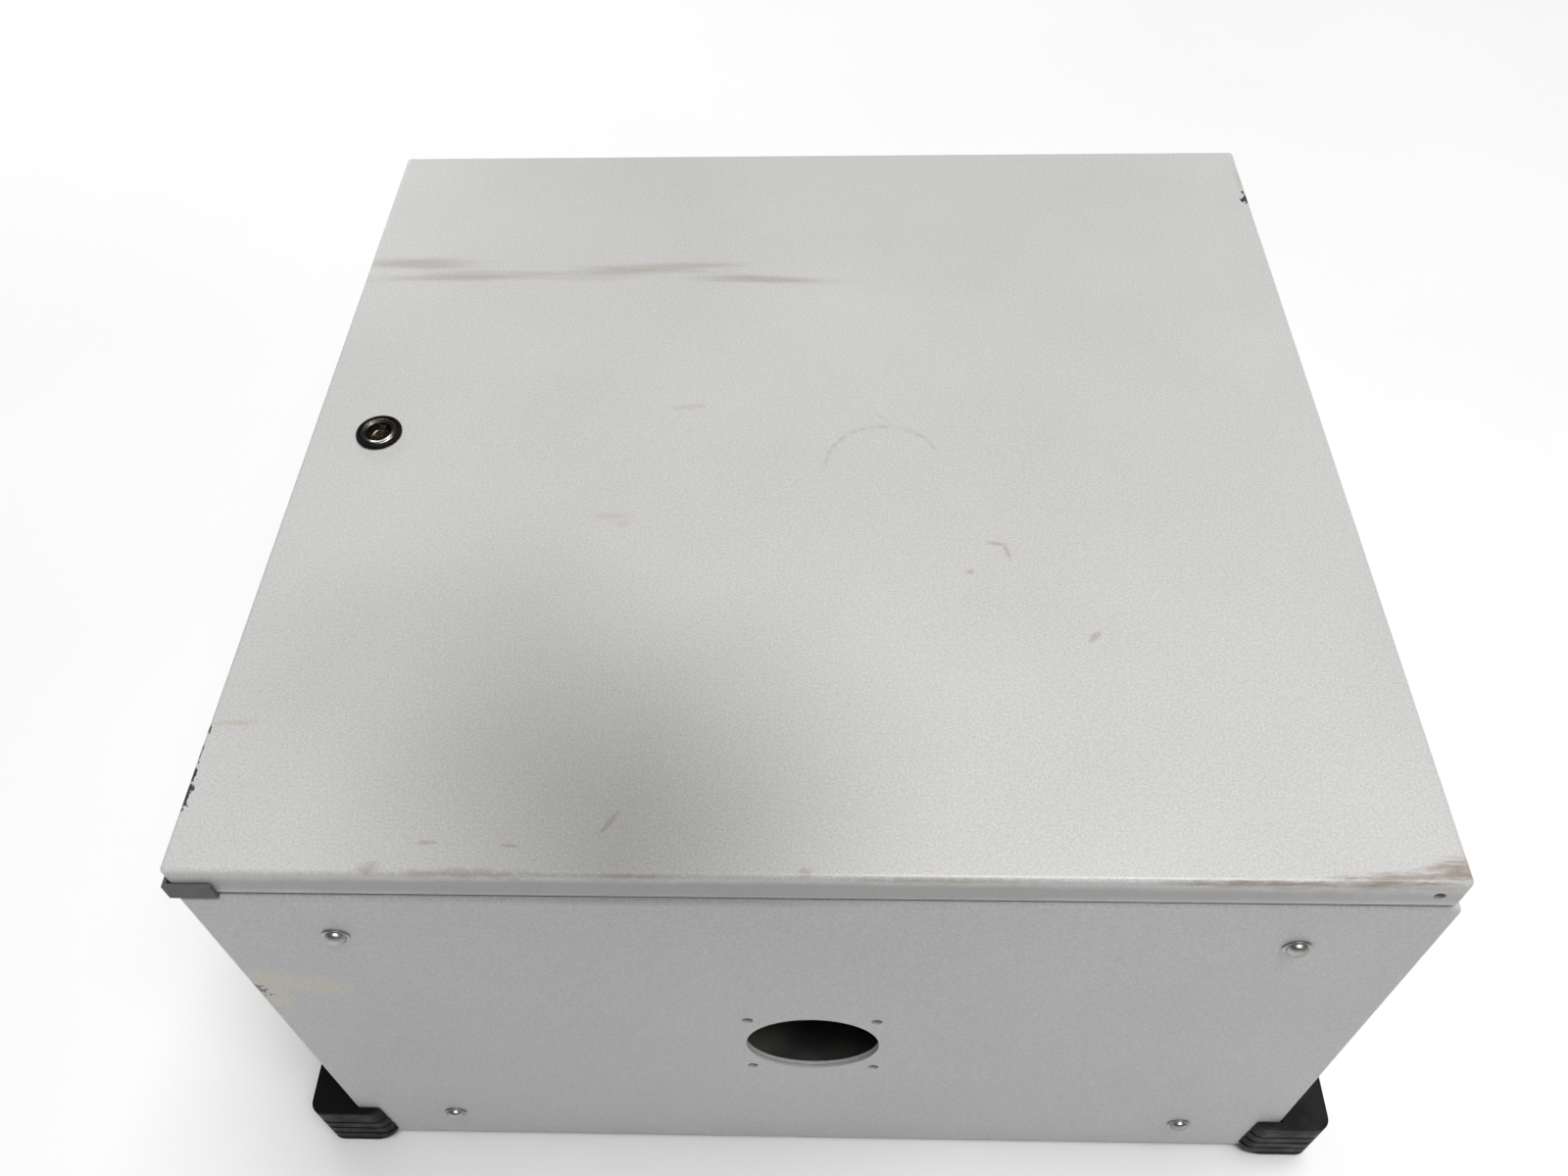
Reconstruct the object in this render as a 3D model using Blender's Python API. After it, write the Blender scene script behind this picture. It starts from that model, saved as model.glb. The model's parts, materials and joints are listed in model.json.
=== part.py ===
"""Steel subpanel enclosure, lying on its back.

+Z points out of the door, +X is the hinge side, +Y is the top end of the cabinet.
The origin is on the floor under the middle of the cabinet. Lengths are in metres.
"""
import math

import bmesh
import bpy
from mathutils import Matrix, Vector

MM = 0.001

# Fits
GAP = 0.3 * MM                  # between two pieces that touch
TURN_GAP = 0.5 * MM             # between a turning piece and its neighbour

# Welded body
BODY_WIDTH = 600 * MM
BODY_HEIGHT = 575 * MM
BODY_DEPTH = 357.5 * MM         # back face to rim face
BODY_SHEET = 1.5 * MM
BODY_CORNER_RADIUS = 3 * MM
BODY_BACK_RADIUS = 2 * MM
BACK_FLANGE = 14 * MM           # turned in behind the back panel
BACK_LIFT = 5 * MM              # back face above the floor, on the feet
RIM_WIDTH = 22 * MM             # wall face to the outer face of the lip
RIM_RADIUS = 4 * MM
LIP_RADIUS = 1.5 * MM
LEAST_RADIUS = 0.5 * MM

# Door
DOOR_INSET = 1.5 * MM           # door edge inside the wall face, on average
DOOR_SHIFT = -1.5 * MM          # the door hangs this far towards the lock side
DOOR_GAP = 3 * MM               # rim face to the edge of the door return
DOOR_RETURN = 20.5 * MM
DOOR_SHEET = 2 * MM
DOOR_EDGE_RADIUS = 2.5 * MM
DOOR_CORNER_RADIUS = 3 * MM
GASKET_WIDTH = 10 * MM
GASKET_THICKNESS = 5.4 * MM
GASKET_CORNER_RADIUS = 9 * MM
ACCESS_HOLE_RADIUS = 2.8 * MM   # in the bottom return, beside the hinge corner
ACCESS_HOLE_EDGE = 12.5 * MM
ACCESS_HOLE_DROP = 11.5 * MM    # below the door face
RAIL_WIDTH = 20 * MM
RAIL_DEPTH = 12 * MM
RAIL_SHEET = 1.5 * MM
RAIL_END_MARGIN = 62 * MM       # body end to rail end
RAIL_FROM_LOCK = 42 * MM        # lock axis to the lock-side rail
RAIL_FROM_HINGE = 57 * MM       # hinge axis to the hinge-side rail
RAIL_HOLE_RADIUS = 3 * MM
RAIL_HOLE_PITCH = 25 * MM

# Hinges
HINGE_AXIS_INSET = 6 * MM       # inside the edge of the door
HINGE_AXIS_DROP = 10 * MM       # below the door face
HINGE_FROM_END = 75 * MM        # body end to the middle of a hinge
HINGE_LENGTH = 60 * MM
KNUCKLE_RADIUS = 4 * MM
PIN_RADIUS = 2.1 * MM
PIN_HEAD_RADIUS = 3.4 * MM
PIN_HEAD = 1.5 * MM
EAR_THICKNESS = 5 * MM
EAR_MIDDLE = 16 * MM            # width of the door's knuckle
HINGE_SHEET = 2.2 * MM
HINGE_LEAF_WIDTH = 7.5 * MM
HINGE_LEAF_LENGTH = 56 * MM
EAR_HEEL = 2.5 * MM             # the ear's foot stops this far inside the axis
HINGE_SCREW_OFFSET = 22 * MM
HINGE_SCREW_INSET = 7.5 * MM    # inside the axis
HINGE_SCREW_END = 5 * MM        # below the rim
HINGE_NOTCH = 68 * MM           # length cut out of the door return
HINGE_NOTCH_LAND = 1 * MM       # return left standing under the skin

# Quarter-turn lock
LOCK_FROM_LIP = 19.5 * MM       # outer face of the lip to the lock axis
LOCK_HEIGHT = -1 * MM           # from mid-height
LOCK_FLANGE_RADIUS = 13.5 * MM
LOCK_FLANGE = 1.7 * MM
LOCK_BARREL_RADIUS = 10 * MM
LOCK_BORE_RADIUS = 8.9 * MM
LOCK_BARREL_BELOW = 18.5 * MM   # below the underside of the skin
LOCK_SEAL = 0.5 * MM
LOCK_SEAL_RADIUS = 13 * MM
LOCK_NUT_FLATS = 24 * MM
LOCK_NUT = 4 * MM
CUP_RADIUS = 11 * MM
CUP_LIP = 0.6 * MM
CUP_MOUTH_RADIUS = 10 * MM
CUP_FLOOR_RADIUS = 6.4 * MM
CUP_DEPTH = 5.5 * MM
CUP_WALL = 0.9 * MM             # round the neck, inside the insert's body
BIT_RADIUS = 2.4 * MM
BIT_REACH = 4.6 * MM
BIT_THICKNESS = 2.2 * MM
BIT_HEIGHT = 4.2 * MM
LOCK_SQUARE = 8 * MM
CAM_CLEARANCE = 1 * MM          # cam to the underside of the rim
CAM_SHEET = 3 * MM
CAM_WIDTH = 16 * MM
CAM_TIP_RADIUS = 4 * MM
CAM_WALL_GAP = 6.5 * MM         # latched cam tip to the wall
CAM_SCREW_DEPTH = 9 * MM

# Bottom wall: cut-out and inner plate
FAN_HOLE_RADIUS = 38 * MM
FAN_HOLE_ABOVE_BACK = 175 * MM
FAN_SCREW_SPACING = 71.5 * MM
FAN_SCREW_RADIUS = 3.2 * MM
PLATE_SHEET = 2 * MM
PLATE_MARGIN = 18 * MM          # screw centre to the plate's edge
DOME_SIDE_EDGE = 65 * MM        # screw centre to the wall's side edge
DOME_BACK_EDGE = 43 * MM
DOME_RIM_EDGE = 41 * MM
DOME_RADIUS = 5.4 * MM
DOME_HEIGHT = 3.8 * MM
DOME_FLANGE_RADIUS = 7 * MM
DOME_FLANGE = 1 * MM

# Subpanel
SUBPANEL_ENTRY_GAP = 6.5 * MM   # lip to plate edge, as the plate goes in
SUBPANEL_SHEET = 2.5 * MM
SUBPANEL_CORNER_RADIUS = 6 * MM
SUBPANEL_STANDOFF = 20 * MM
STUD_INSET = 25 * MM            # stud to the plate's edge
STUD_RADIUS = 4 * MM
STUD_SHOULDER_RADIUS = 7 * MM
WALL_HOLE_EDGE = 25 * MM
WALL_HOLE_RADIUS = 4.25 * MM
EARTH_SIDE = 100 * MM           # earth studs from the hinge-side wall
EARTH_BODY_END = 15 * MM        # from the bottom end
EARTH_DOOR_END = 45 * MM
EARTH_STUD_LENGTH = 16 * MM

# Feet
FOOT_OUT = 30 * MM              # beyond the side wall
FOOT_FRONT = 5 * MM             # beyond the end wall
FOOT_HEIGHT = 54 * MM
FOOT_LENGTH = 60 * MM
FOOT_LAP_TOP = 17 * MM          # over the end wall, at the foot's top
FOOT_LAP_BOTTOM = 20 * MM
FOOT_CORNER_RADIUS = 9 * MM
FOOT_CHAMFER = 1 * MM
FOOT_SCREW_INSET = 9 * MM
FOOT_SCREW_END = 24 * MM        # from the body's end
FOOT_HEAD_SINK = 0.7 * MM

# Buffer on the door return, at the bottom corner of the lock side
BUFFER_WALL = 2 * MM
BUFFER_LAP = 9 * MM             # up the return
BUFFER_END_LENGTH = 21 * MM     # along the bottom return
BUFFER_SIDE_LENGTH = 12 * MM    # along the lock-side return

# Fasteners: radius, head radius, head height, nut flats, nut height
M5 = {"radius": 2.5 * MM, "head": 4.2 * MM, "head_height": 2 * MM, "flats": 8 * MM, "nut": 4 * MM}
M6 = {"radius": 3 * MM, "flats": 10 * MM, "nut": 5 * MM}
M8 = {"radius": STUD_RADIUS, "flats": 13 * MM, "nut": 6.5 * MM}
NUT_FLANGE_RADIUS = 8.5 * MM
NUT_FLANGE = 1.6 * MM
THREAD_END = 1.5 * MM           # thread past its nut
CAM_SCREW_RADIUS = 2.2 * MM
CAM_SCREW_HEAD = 3 * MM
CAM_SCREW_FLANGE_RADIUS = 6.5 * MM
CAM_SCREW_FLANGE = 1.2 * MM

# Facets
FINE = 32
ROUND = 16
COARSE = 8
CORNER = 3
BEND = 4

# Levels along Z
BACK_Z = BACK_LIFT
PANEL_Z = BACK_Z + BODY_SHEET + GAP
PANEL_TOP_Z = PANEL_Z + BODY_SHEET
RIM_Z = BACK_Z + BODY_DEPTH
DOOR_EDGE_Z = RIM_Z + DOOR_GAP
FACE_Z = DOOR_EDGE_Z + DOOR_RETURN
SKIN_Z = FACE_Z - DOOR_SHEET
GASKET_Z = SKIN_Z - GAP - GASKET_THICKNESS
LIP_Z = GASKET_Z - GAP
SUBPANEL_Z = PANEL_TOP_Z + SUBPANEL_STANDOFF

# Places across
DOOR_HALF_X = BODY_WIDTH / 2 - DOOR_INSET
DOOR_HALF_Y = BODY_HEIGHT / 2 - DOOR_INSET
DOOR_LOCK_EDGE_X = DOOR_SHIFT - DOOR_HALF_X
DOOR_HINGE_EDGE_X = DOOR_SHIFT + DOOR_HALF_X
HINGE_X = DOOR_HINGE_EDGE_X - HINGE_AXIS_INSET
HINGE_Z = FACE_Z - HINGE_AXIS_DROP
EAR_TOE_X = BODY_WIDTH / 2 - RIM_WIDTH + LIP_RADIUS
LOCK_X = RIM_WIDTH + LOCK_FROM_LIP - BODY_WIDTH / 2
LIP_INSET = RIM_WIDTH + BODY_SHEET / 2
SUBPANEL_HALF_X = BODY_WIDTH / 2 - RIM_WIDTH - BODY_SHEET - SUBPANEL_ENTRY_GAP
SUBPANEL_HALF_Y = BODY_HEIGHT / 2 - RIM_WIDTH - BODY_SHEET - SUBPANEL_ENTRY_GAP
STUD_X = SUBPANEL_HALF_X - STUD_INSET
STUD_Y = SUBPANEL_HALF_Y - STUD_INSET
DOME_X = BODY_WIDTH / 2 - DOME_SIDE_EDGE
DOME_LOW_Z = BACK_Z + DOME_BACK_EDGE
DOME_HIGH_Z = RIM_Z - DOME_RIM_EDGE
FAN_Z = BACK_Z + FAN_HOLE_ABOVE_BACK
FOOT_SCREW_X = BODY_WIDTH / 2 - FOOT_SCREW_INSET
FOOT_SCREW_Y = BODY_HEIGHT / 2 - FOOT_SCREW_END

# Colour, roughness, metallic
FINISHES = {
    "powder coat": ((0.60, 0.60, 0.57), 0.5, 0.0),
    "zinc": ((0.62, 0.62, 0.60), 0.35, 1.0),
    "chrome": ((0.70, 0.70, 0.68), 0.15, 1.0),
    "black plastic": ((0.012, 0.012, 0.013), 0.5, 0.0),
    "grey plastic": ((0.10, 0.105, 0.11), 0.55, 0.0),
    "foam": ((0.03, 0.03, 0.03), 0.9, 0.0),
}


# ---- outlines ----

def circle(radius, steps):
    """Points round a circle, anticlockwise from +X."""
    points = []
    for step in range(steps):
        angle = 2 * math.pi * step / steps
        points.append((radius * math.cos(angle), radius * math.sin(angle)))
    return points


def polygon_by_angle(radius, sides, steps):
    """A regular polygon of the given inner radius, read at as many points as a circle."""
    points = []
    for step in range(steps):
        angle = 2 * math.pi * step / steps
        flat = 2 * math.pi / sides
        off_flat = (angle + flat / 2) % flat - flat / 2
        reach = radius / math.cos(off_flat)
        points.append((reach * math.cos(angle), reach * math.sin(angle)))
    return points


def arc(centre, radius, start, end, steps):
    """Points on an arc between two angles in degrees, both ends included."""
    points = []
    for step in range(steps + 1):
        angle = math.radians(start + (end - start) * step / steps)
        points.append((centre[0] + radius * math.cos(angle), centre[1] + radius * math.sin(angle)))
    return points


def rounded_rectangle(low_x, low_y, high_x, high_y, radius, steps=CORNER):
    """A rectangle with round corners, anticlockwise from its lower right corner."""
    corners = [
        (high_x - radius, low_y + radius, -90),
        (high_x - radius, high_y - radius, 0),
        (low_x + radius, high_y - radius, 90),
        (low_x + radius, low_y + radius, 180),
    ]
    points = []
    for x, y, start in corners:
        points += arc((x, y), radius, start, start + 90, steps)
    return points


def inset_outline(half_x, half_y, inset, corner_radius):
    """The outline of a folded box, this far inside its outer face."""
    radius = max(corner_radius - inset, LEAST_RADIUS)
    x = half_x - inset
    y = half_y - inset
    return rounded_rectangle(-x, -y, x, y, radius)


# ---- solids ----

def add_ring(bm, outline, z, place):
    """One ring of vertices at a level."""
    return [bm.verts.new(place @ Vector((x, y, z))) for x, y in outline]


def add_skin(bm, rings, closed):
    """Faces between rings of equal length, and back to the first one if closed."""
    pairs = list(zip(rings, rings[1:]))
    if closed:
        pairs.append((rings[-1], rings[0]))
    for lower, upper in pairs:
        count = len(lower)
        for index in range(count):
            after = (index + 1) % count
            bm.faces.new((lower[index], lower[after], upper[after], upper[index]))


def add_loft(bm, levels, place=Matrix()):
    """A solid through (outline, z) levels, closed with a flat face at each end."""
    rings = [add_ring(bm, outline, z, place) for outline, z in levels]
    add_skin(bm, rings, closed=False)
    bm.faces.new(rings[0])
    bm.faces.new(rings[-1])


def add_hoop(bm, levels, place=Matrix()):
    """A solid with a hole through it: the levels run round its section."""
    rings = [add_ring(bm, outline, z, place) for outline, z in levels]
    add_skin(bm, rings, closed=True)


def add_prism(bm, outline, low, high, place=Matrix()):
    """A straight solid between two levels."""
    add_loft(bm, [(outline, low), (outline, high)], place)


def add_frame(bm, outer, inner, low, high, place=Matrix()):
    """A straight solid with a straight hole."""
    add_hoop(bm, [(outer, low), (outer, high), (inner, high), (inner, low)], place)


def add_box(bm, low, high):
    """A box between two corners."""
    outline = [(low[0], low[1]), (high[0], low[1]), (high[0], high[1]), (low[0], high[1])]
    add_prism(bm, outline, low[2], high[2])


def add_nut(bm, size, low, place=Matrix()):
    """A hexagon nut that clears its thread by the gap."""
    outer = polygon_by_angle(size["flats"] / 2, 6, 12)
    inner = circle(size["radius"] + GAP, 12)
    add_frame(bm, outer, inner, low, low + size["nut"], place)


def add_flanged_nut(bm, size, low, place=Matrix()):
    """A hexagon nut on its own washer, one solid."""
    hole = circle(size["radius"] + GAP, 12)
    flange = circle(NUT_FLANGE_RADIUS, 12)
    hexagon = polygon_by_angle(size["flats"] / 2, 6, 12)
    step = low + NUT_FLANGE
    top = step + size["nut"]
    add_hoop(bm, [(flange, low), (flange, step), (hexagon, step), (hexagon, top), (hole, top), (hole, low)],
             place)


def add_rod(bm, radius, low, high, steps, place=Matrix()):
    """A round rod."""
    add_prism(bm, circle(radius, steps), low, high, place)


def along_y(x, z, y=0.0):
    """Places a solid with its own +Z pointing to -Y, out of the bottom wall."""
    return Matrix.Translation((x, y, z)) @ Matrix.Rotation(math.radians(90), 4, "X")


def at(x, y):
    """Places a solid that stands along Z."""
    return Matrix.Translation((x, y, 0))


# ---- objects ----

def make_material(name, finish):
    """A plain shader with the finish's colour, roughness and metallic value."""
    colour, roughness, metallic = FINISHES[finish]
    material = bpy.data.materials.new(name)
    material.use_nodes = True
    shader = material.node_tree.nodes["Principled BSDF"]
    shader.inputs["Base Color"].default_value = (*colour, 1)
    shader.inputs["Roughness"].default_value = roughness
    shader.inputs["Metallic"].default_value = metallic
    material.diffuse_color = (*colour, 1)
    return material


def world_place(item):
    """Where an unturned object stands, counted through its parents."""
    place = item.location.copy()
    while item.parent:
        item = item.parent
        place += item.location
    return place


def make_object(name, bm, origin, parent=None):
    """An object whose mesh is given in world coordinates and whose origin is where it belongs."""
    bmesh.ops.recalc_face_normals(bm, faces=bm.faces[:])
    mesh = bpy.data.meshes.new(name)
    bm.to_mesh(mesh)
    bm.free()
    mesh.transform(Matrix.Translation(-Vector(origin)))
    item = bpy.data.objects.new(name, mesh)
    bpy.context.scene.collection.objects.link(item)
    item.location = Vector(origin)
    if parent:
        item.parent = parent
        item.location = Vector(origin) - world_place(parent)
    return item


def make_piece(name, bm, finish, origin, parent=None):
    """One finished sub-part in its own material."""
    piece = make_object(name, bm, origin, parent)
    piece.data.materials.append(make_material(name, finish))
    piece.data.shade_smooth()
    piece.data.set_sharp_from_angle(angle=math.radians(40))
    return piece


def apply_tool(piece, bm, operation):
    """Cuts or joins a tool solid with a piece."""
    tool = make_object(piece.name + "_" + operation.lower(), bm, (0, 0, 0))
    tool.hide_render = True
    tool.display_type = "WIRE"
    modifier = piece.modifiers.new(operation.lower(), "BOOLEAN")
    modifier.operation = operation
    modifier.solver = "EXACT"
    modifier.object = tool


def make_pivot(name, location, parent=None):
    """An empty on a joint's axis."""
    pivot = bpy.data.objects.new(name, None)
    bpy.context.scene.collection.objects.link(pivot)
    pivot.location = Vector(location)
    if parent:
        pivot.parent = parent
        pivot.location = Vector(location) - world_place(parent)
    return pivot


# ---- repeated places ----

def corners(x, y):
    """The four corners of a rectangle about the middle."""
    return [(-x, -y), (x, -y), (-x, y), (x, y)]


def named_corners(x, y):
    """The four corners with the name of each."""
    names = ("bottom_lock", "bottom_hinge", "top_lock", "top_hinge")
    return [(name, place[0], place[1]) for name, place in zip(names, corners(x, y))]


def foot_screw_places():
    """One screw in each foot."""
    return named_corners(FOOT_SCREW_X, FOOT_SCREW_Y)


def hinge_middles():
    """Name and middle of each hinge along the axis."""
    reach = BODY_HEIGHT / 2 - HINGE_FROM_END
    return [("lower", -reach), ("upper", reach)]


def hinge_screw_places():
    """Two screws in each hinge bracket."""
    places = []
    for name, middle in hinge_middles():
        for side_name, side in (("a", -1), ("b", 1)):
            y = middle + side * HINGE_SCREW_OFFSET
            places.append((name + "_" + side_name, HINGE_X - HINGE_SCREW_INSET, y))
    return places


def dome_screw_places():
    """The four screws in the bottom wall, as name, x and z."""
    places = []
    for level_name, z in (("back", DOME_LOW_Z), ("front", DOME_HIGH_Z)):
        for side_name, x in (("lock", -DOME_X), ("hinge", DOME_X)):
            places.append((level_name + "_" + side_name, x, z))
    return places


# ---- body ----

def wall_section():
    """The folded sheet round the cabinet, as (inset, z) from the back flange to the lip and back."""
    sheet = BODY_SHEET
    back = BODY_BACK_RADIUS
    section = [(BACK_FLANGE, BACK_Z)]
    section += arc((back, BACK_Z + back), back, 270, 180, BEND)
    section += arc((RIM_RADIUS, RIM_Z - RIM_RADIUS), RIM_RADIUS, 180, 90, BEND)
    section += arc((RIM_WIDTH - LIP_RADIUS, RIM_Z + LIP_RADIUS), LIP_RADIUS, 270, 360, BEND)
    section += [(RIM_WIDTH, LIP_Z), (RIM_WIDTH + sheet, LIP_Z)]
    section += arc((RIM_WIDTH - LIP_RADIUS, RIM_Z + LIP_RADIUS), LIP_RADIUS + sheet, 360, 270, BEND)
    section += arc((RIM_RADIUS, RIM_Z - RIM_RADIUS), RIM_RADIUS - sheet, 90, 180, BEND)
    section += arc((back, BACK_Z + back), back - sheet, 180, 270, 1)
    section += [(BACK_FLANGE, BACK_Z + sheet)]
    return section


def add_wall_cutters(bm, outside, inside):
    """Cut-out, its four screw holes and the dome screws' holes, between two Y levels."""
    depth = inside - outside
    place = along_y(0, FAN_Z, inside)
    add_rod(bm, FAN_HOLE_RADIUS, 0, depth, FINE, place)
    half = FAN_SCREW_SPACING / 2
    for side_x, side_z in corners(half, half):
        add_rod(bm, FAN_SCREW_RADIUS, 0, depth, COARSE, along_y(side_x, FAN_Z + side_z, inside))
    for _, x, z in dome_screw_places():
        add_rod(bm, M6["radius"] + GAP, 0, depth, ROUND, along_y(x, z, inside))


def build_body_wrap():
    """Four walls, the rim, the raised lip and the flange behind the back panel."""
    bm = bmesh.new()
    levels = []
    for inset, z in wall_section():
        outline = inset_outline(BODY_WIDTH / 2, BODY_HEIGHT / 2, inset, BODY_CORNER_RADIUS)
        levels.append((outline, z))
    add_hoop(bm, levels)
    body = make_piece("body_wrap", bm, "powder coat", (0, 0, BACK_Z))
    holes = bmesh.new()
    wall = -BODY_HEIGHT / 2
    add_wall_cutters(holes, wall - BODY_SHEET, wall + 2 * BODY_SHEET)
    for _, x, y in foot_screw_places():
        add_rod(holes, M5["radius"] + GAP, BACK_Z - GAP, PANEL_Z - GAP / 2, COARSE, at(x, y))
    for _, x, y in hinge_screw_places():
        add_rod(holes, M5["radius"] + GAP, RIM_Z - 2 * BODY_SHEET, RIM_Z + BODY_SHEET, COARSE, at(x, y))
    apply_tool(body, holes, "DIFFERENCE")


def build_back_panel():
    """The welded back, inside the flange, with holes for the wall and the feet."""
    inset = BODY_SHEET + GAP
    outline = inset_outline(BODY_WIDTH / 2, BODY_HEIGHT / 2, inset, BODY_CORNER_RADIUS)
    bm = bmesh.new()
    add_prism(bm, outline, PANEL_Z, PANEL_TOP_Z)
    panel = make_piece("back_panel", bm, "powder coat", (0, 0, PANEL_Z))
    holes = bmesh.new()
    low = PANEL_Z - BODY_SHEET
    high = PANEL_TOP_Z + BODY_SHEET
    for x, y in wall_hole_places():
        add_rod(holes, WALL_HOLE_RADIUS, low, high, ROUND, at(x, y))
    for _, x, y in foot_screw_places():
        add_rod(holes, M5["radius"] + GAP, low, high, COARSE, at(x, y))
    apply_tool(panel, holes, "DIFFERENCE")


def wall_hole_places():
    """Holes for the screws into the wall."""
    return corners(BODY_WIDTH / 2 - WALL_HOLE_EDGE, BODY_HEIGHT / 2 - WALL_HOLE_EDGE)


# ---- subpanel ----

def build_subpanel():
    """The mounting plate on four shouldered studs, held by flanged nuts."""
    stud_low = PANEL_TOP_Z + GAP
    plate_top = SUBPANEL_Z + SUBPANEL_SHEET
    nut_low = plate_top + GAP
    stud_top = nut_low + NUT_FLANGE + M8["nut"] + THREAD_END
    hole = M8["radius"] + GAP

    bm = bmesh.new()
    outline = rounded_rectangle(-SUBPANEL_HALF_X, -SUBPANEL_HALF_Y, SUBPANEL_HALF_X, SUBPANEL_HALF_Y,
                                SUBPANEL_CORNER_RADIUS)
    add_prism(bm, outline, SUBPANEL_Z, plate_top)
    plate = make_piece("subpanel_plate", bm, "zinc", (0, 0, SUBPANEL_Z))
    holes = bmesh.new()
    for x, y in corners(STUD_X, STUD_Y):
        add_rod(holes, hole, SUBPANEL_Z - SUBPANEL_SHEET, plate_top + SUBPANEL_SHEET, ROUND, at(x, y))
    apply_tool(plate, holes, "DIFFERENCE")

    for name, x, y in named_corners(STUD_X, STUD_Y):
        shoulder = circle(STUD_SHOULDER_RADIUS, ROUND)
        thread = circle(M8["radius"], ROUND)
        shoulder_top = SUBPANEL_Z - GAP
        bm = bmesh.new()
        add_loft(bm, [(shoulder, stud_low), (shoulder, shoulder_top), (thread, shoulder_top),
                      (thread, stud_top)], at(x, y))
        make_piece("subpanel_stud_" + name, bm, "zinc", (x, y, stud_low))
        bm = bmesh.new()
        add_flanged_nut(bm, M8, nut_low, at(x, y))
        make_piece("subpanel_nut_" + name, bm, "zinc", (x, y, nut_low))


# ---- bottom wall ----

def build_inner_plate():
    """A plate behind the bottom wall, held by four dome-head screws."""
    wall = -BODY_HEIGHT / 2
    outside = wall + BODY_SHEET + GAP
    inside = outside + PLATE_SHEET
    nut_depth = inside + GAP - wall
    reach_x = DOME_X + PLATE_MARGIN
    low_z = DOME_LOW_Z - PLATE_MARGIN
    high_z = DOME_HIGH_Z + PLATE_MARGIN

    bm = bmesh.new()
    add_box(bm, (-reach_x, outside, low_z), (reach_x, inside, high_z))
    plate = make_piece("bottom_inner_plate", bm, "powder coat", (0, outside, FAN_Z))
    holes = bmesh.new()
    add_wall_cutters(holes, outside - PLATE_SHEET, inside + PLATE_SHEET)
    apply_tool(plate, holes, "DIFFERENCE")

    shank = M6["radius"]
    flange_top = GAP + DOME_FLANGE
    thread_end = -(nut_depth + M6["nut"] + THREAD_END)
    for name, x, z in dome_screw_places():
        place = along_y(x, z, wall)
        levels = [
            (circle(shank, ROUND), thread_end),
            (circle(shank, ROUND), GAP),
            (circle(DOME_FLANGE_RADIUS, ROUND), GAP),
            (circle(DOME_FLANGE_RADIUS, ROUND), flange_top),
        ]
        for height_share in (0, 0.45, 0.8, 0.96):
            radius = DOME_RADIUS * math.sqrt(1 - height_share ** 2)
            levels.append((circle(radius, ROUND), flange_top + DOME_HEIGHT * height_share))
        bm = bmesh.new()
        add_loft(bm, levels, place)
        make_piece("dome_screw_" + name, bm, "chrome", (x, wall, z))
        bm = bmesh.new()
        add_nut(bm, M6, -(nut_depth + M6["nut"]), place)
        make_piece("dome_nut_" + name, bm, "zinc", (x, inside, z))


# ---- feet ----

def build_foot(name, screw_x, screw_y):
    """One black corner foot, a block that wraps the body's back corner, with its screw and nut."""
    out_x = BODY_WIDTH / 2 + FOOT_OUT
    out_y = BODY_HEIGHT / 2 + FOOT_FRONT
    side_x = math.copysign(1, screw_x)
    side_y = math.copysign(1, screw_y)

    def outline(z, inset):
        lap = FOOT_LAP_BOTTOM + (FOOT_LAP_TOP - FOOT_LAP_BOTTOM) * z / FOOT_HEIGHT
        points = rounded_rectangle(BODY_WIDTH / 2 - lap + inset, out_y - FOOT_LENGTH + inset,
                                   out_x - inset, out_y - inset, FOOT_CORNER_RADIUS - inset)
        return [(side_x * x, side_y * y) for x, y in points]

    bm = bmesh.new()
    levels = [
        (outline(0, FOOT_CHAMFER), 0),
        (outline(FOOT_CHAMFER, 0), FOOT_CHAMFER),
        (outline(FOOT_HEIGHT - FOOT_CHAMFER, 0), FOOT_HEIGHT - FOOT_CHAMFER),
        (outline(FOOT_HEIGHT, FOOT_CHAMFER), FOOT_HEIGHT),
    ]
    add_loft(bm, levels)
    foot = make_piece("foot_" + name, bm, "black plastic", (side_x * out_x, side_y * out_y, 0))

    # Room for the body, and a sunk screw
    pocket = bmesh.new()
    half_x = BODY_WIDTH / 2 + GAP
    half_y = BODY_HEIGHT / 2 + GAP
    add_box(pocket, (-half_x, -half_y, BACK_Z - GAP), (half_x, half_y, 2 * FOOT_HEIGHT))
    apply_tool(foot, pocket, "DIFFERENCE")
    head_top = FOOT_HEAD_SINK + M5["head_height"]
    seat = head_top + GAP
    head_hole = circle(M5["head"] + GAP, ROUND)
    thread_hole = circle(M5["radius"] + GAP, ROUND)
    place = at(screw_x, screw_y)
    hole = bmesh.new()
    add_loft(hole, [(head_hole, -GAP), (head_hole, seat), (thread_hole, seat), (thread_hole, BACK_Z)], place)
    apply_tool(foot, hole, "DIFFERENCE")

    nut_low = PANEL_TOP_Z + GAP
    head = circle(M5["head"], ROUND)
    thread = circle(M5["radius"], ROUND)
    thread_end = nut_low + M5["nut"] + THREAD_END
    bm = bmesh.new()
    add_loft(bm, [(head, FOOT_HEAD_SINK), (head, head_top), (thread, head_top), (thread, thread_end)], place)
    make_piece("foot_screw_" + name, bm, "zinc", (screw_x, screw_y, FOOT_HEAD_SINK))
    bm = bmesh.new()
    add_nut(bm, M5, nut_low, place)
    make_piece("foot_nut_" + name, bm, "zinc", (screw_x, screw_y, nut_low))


# ---- door ----

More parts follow.
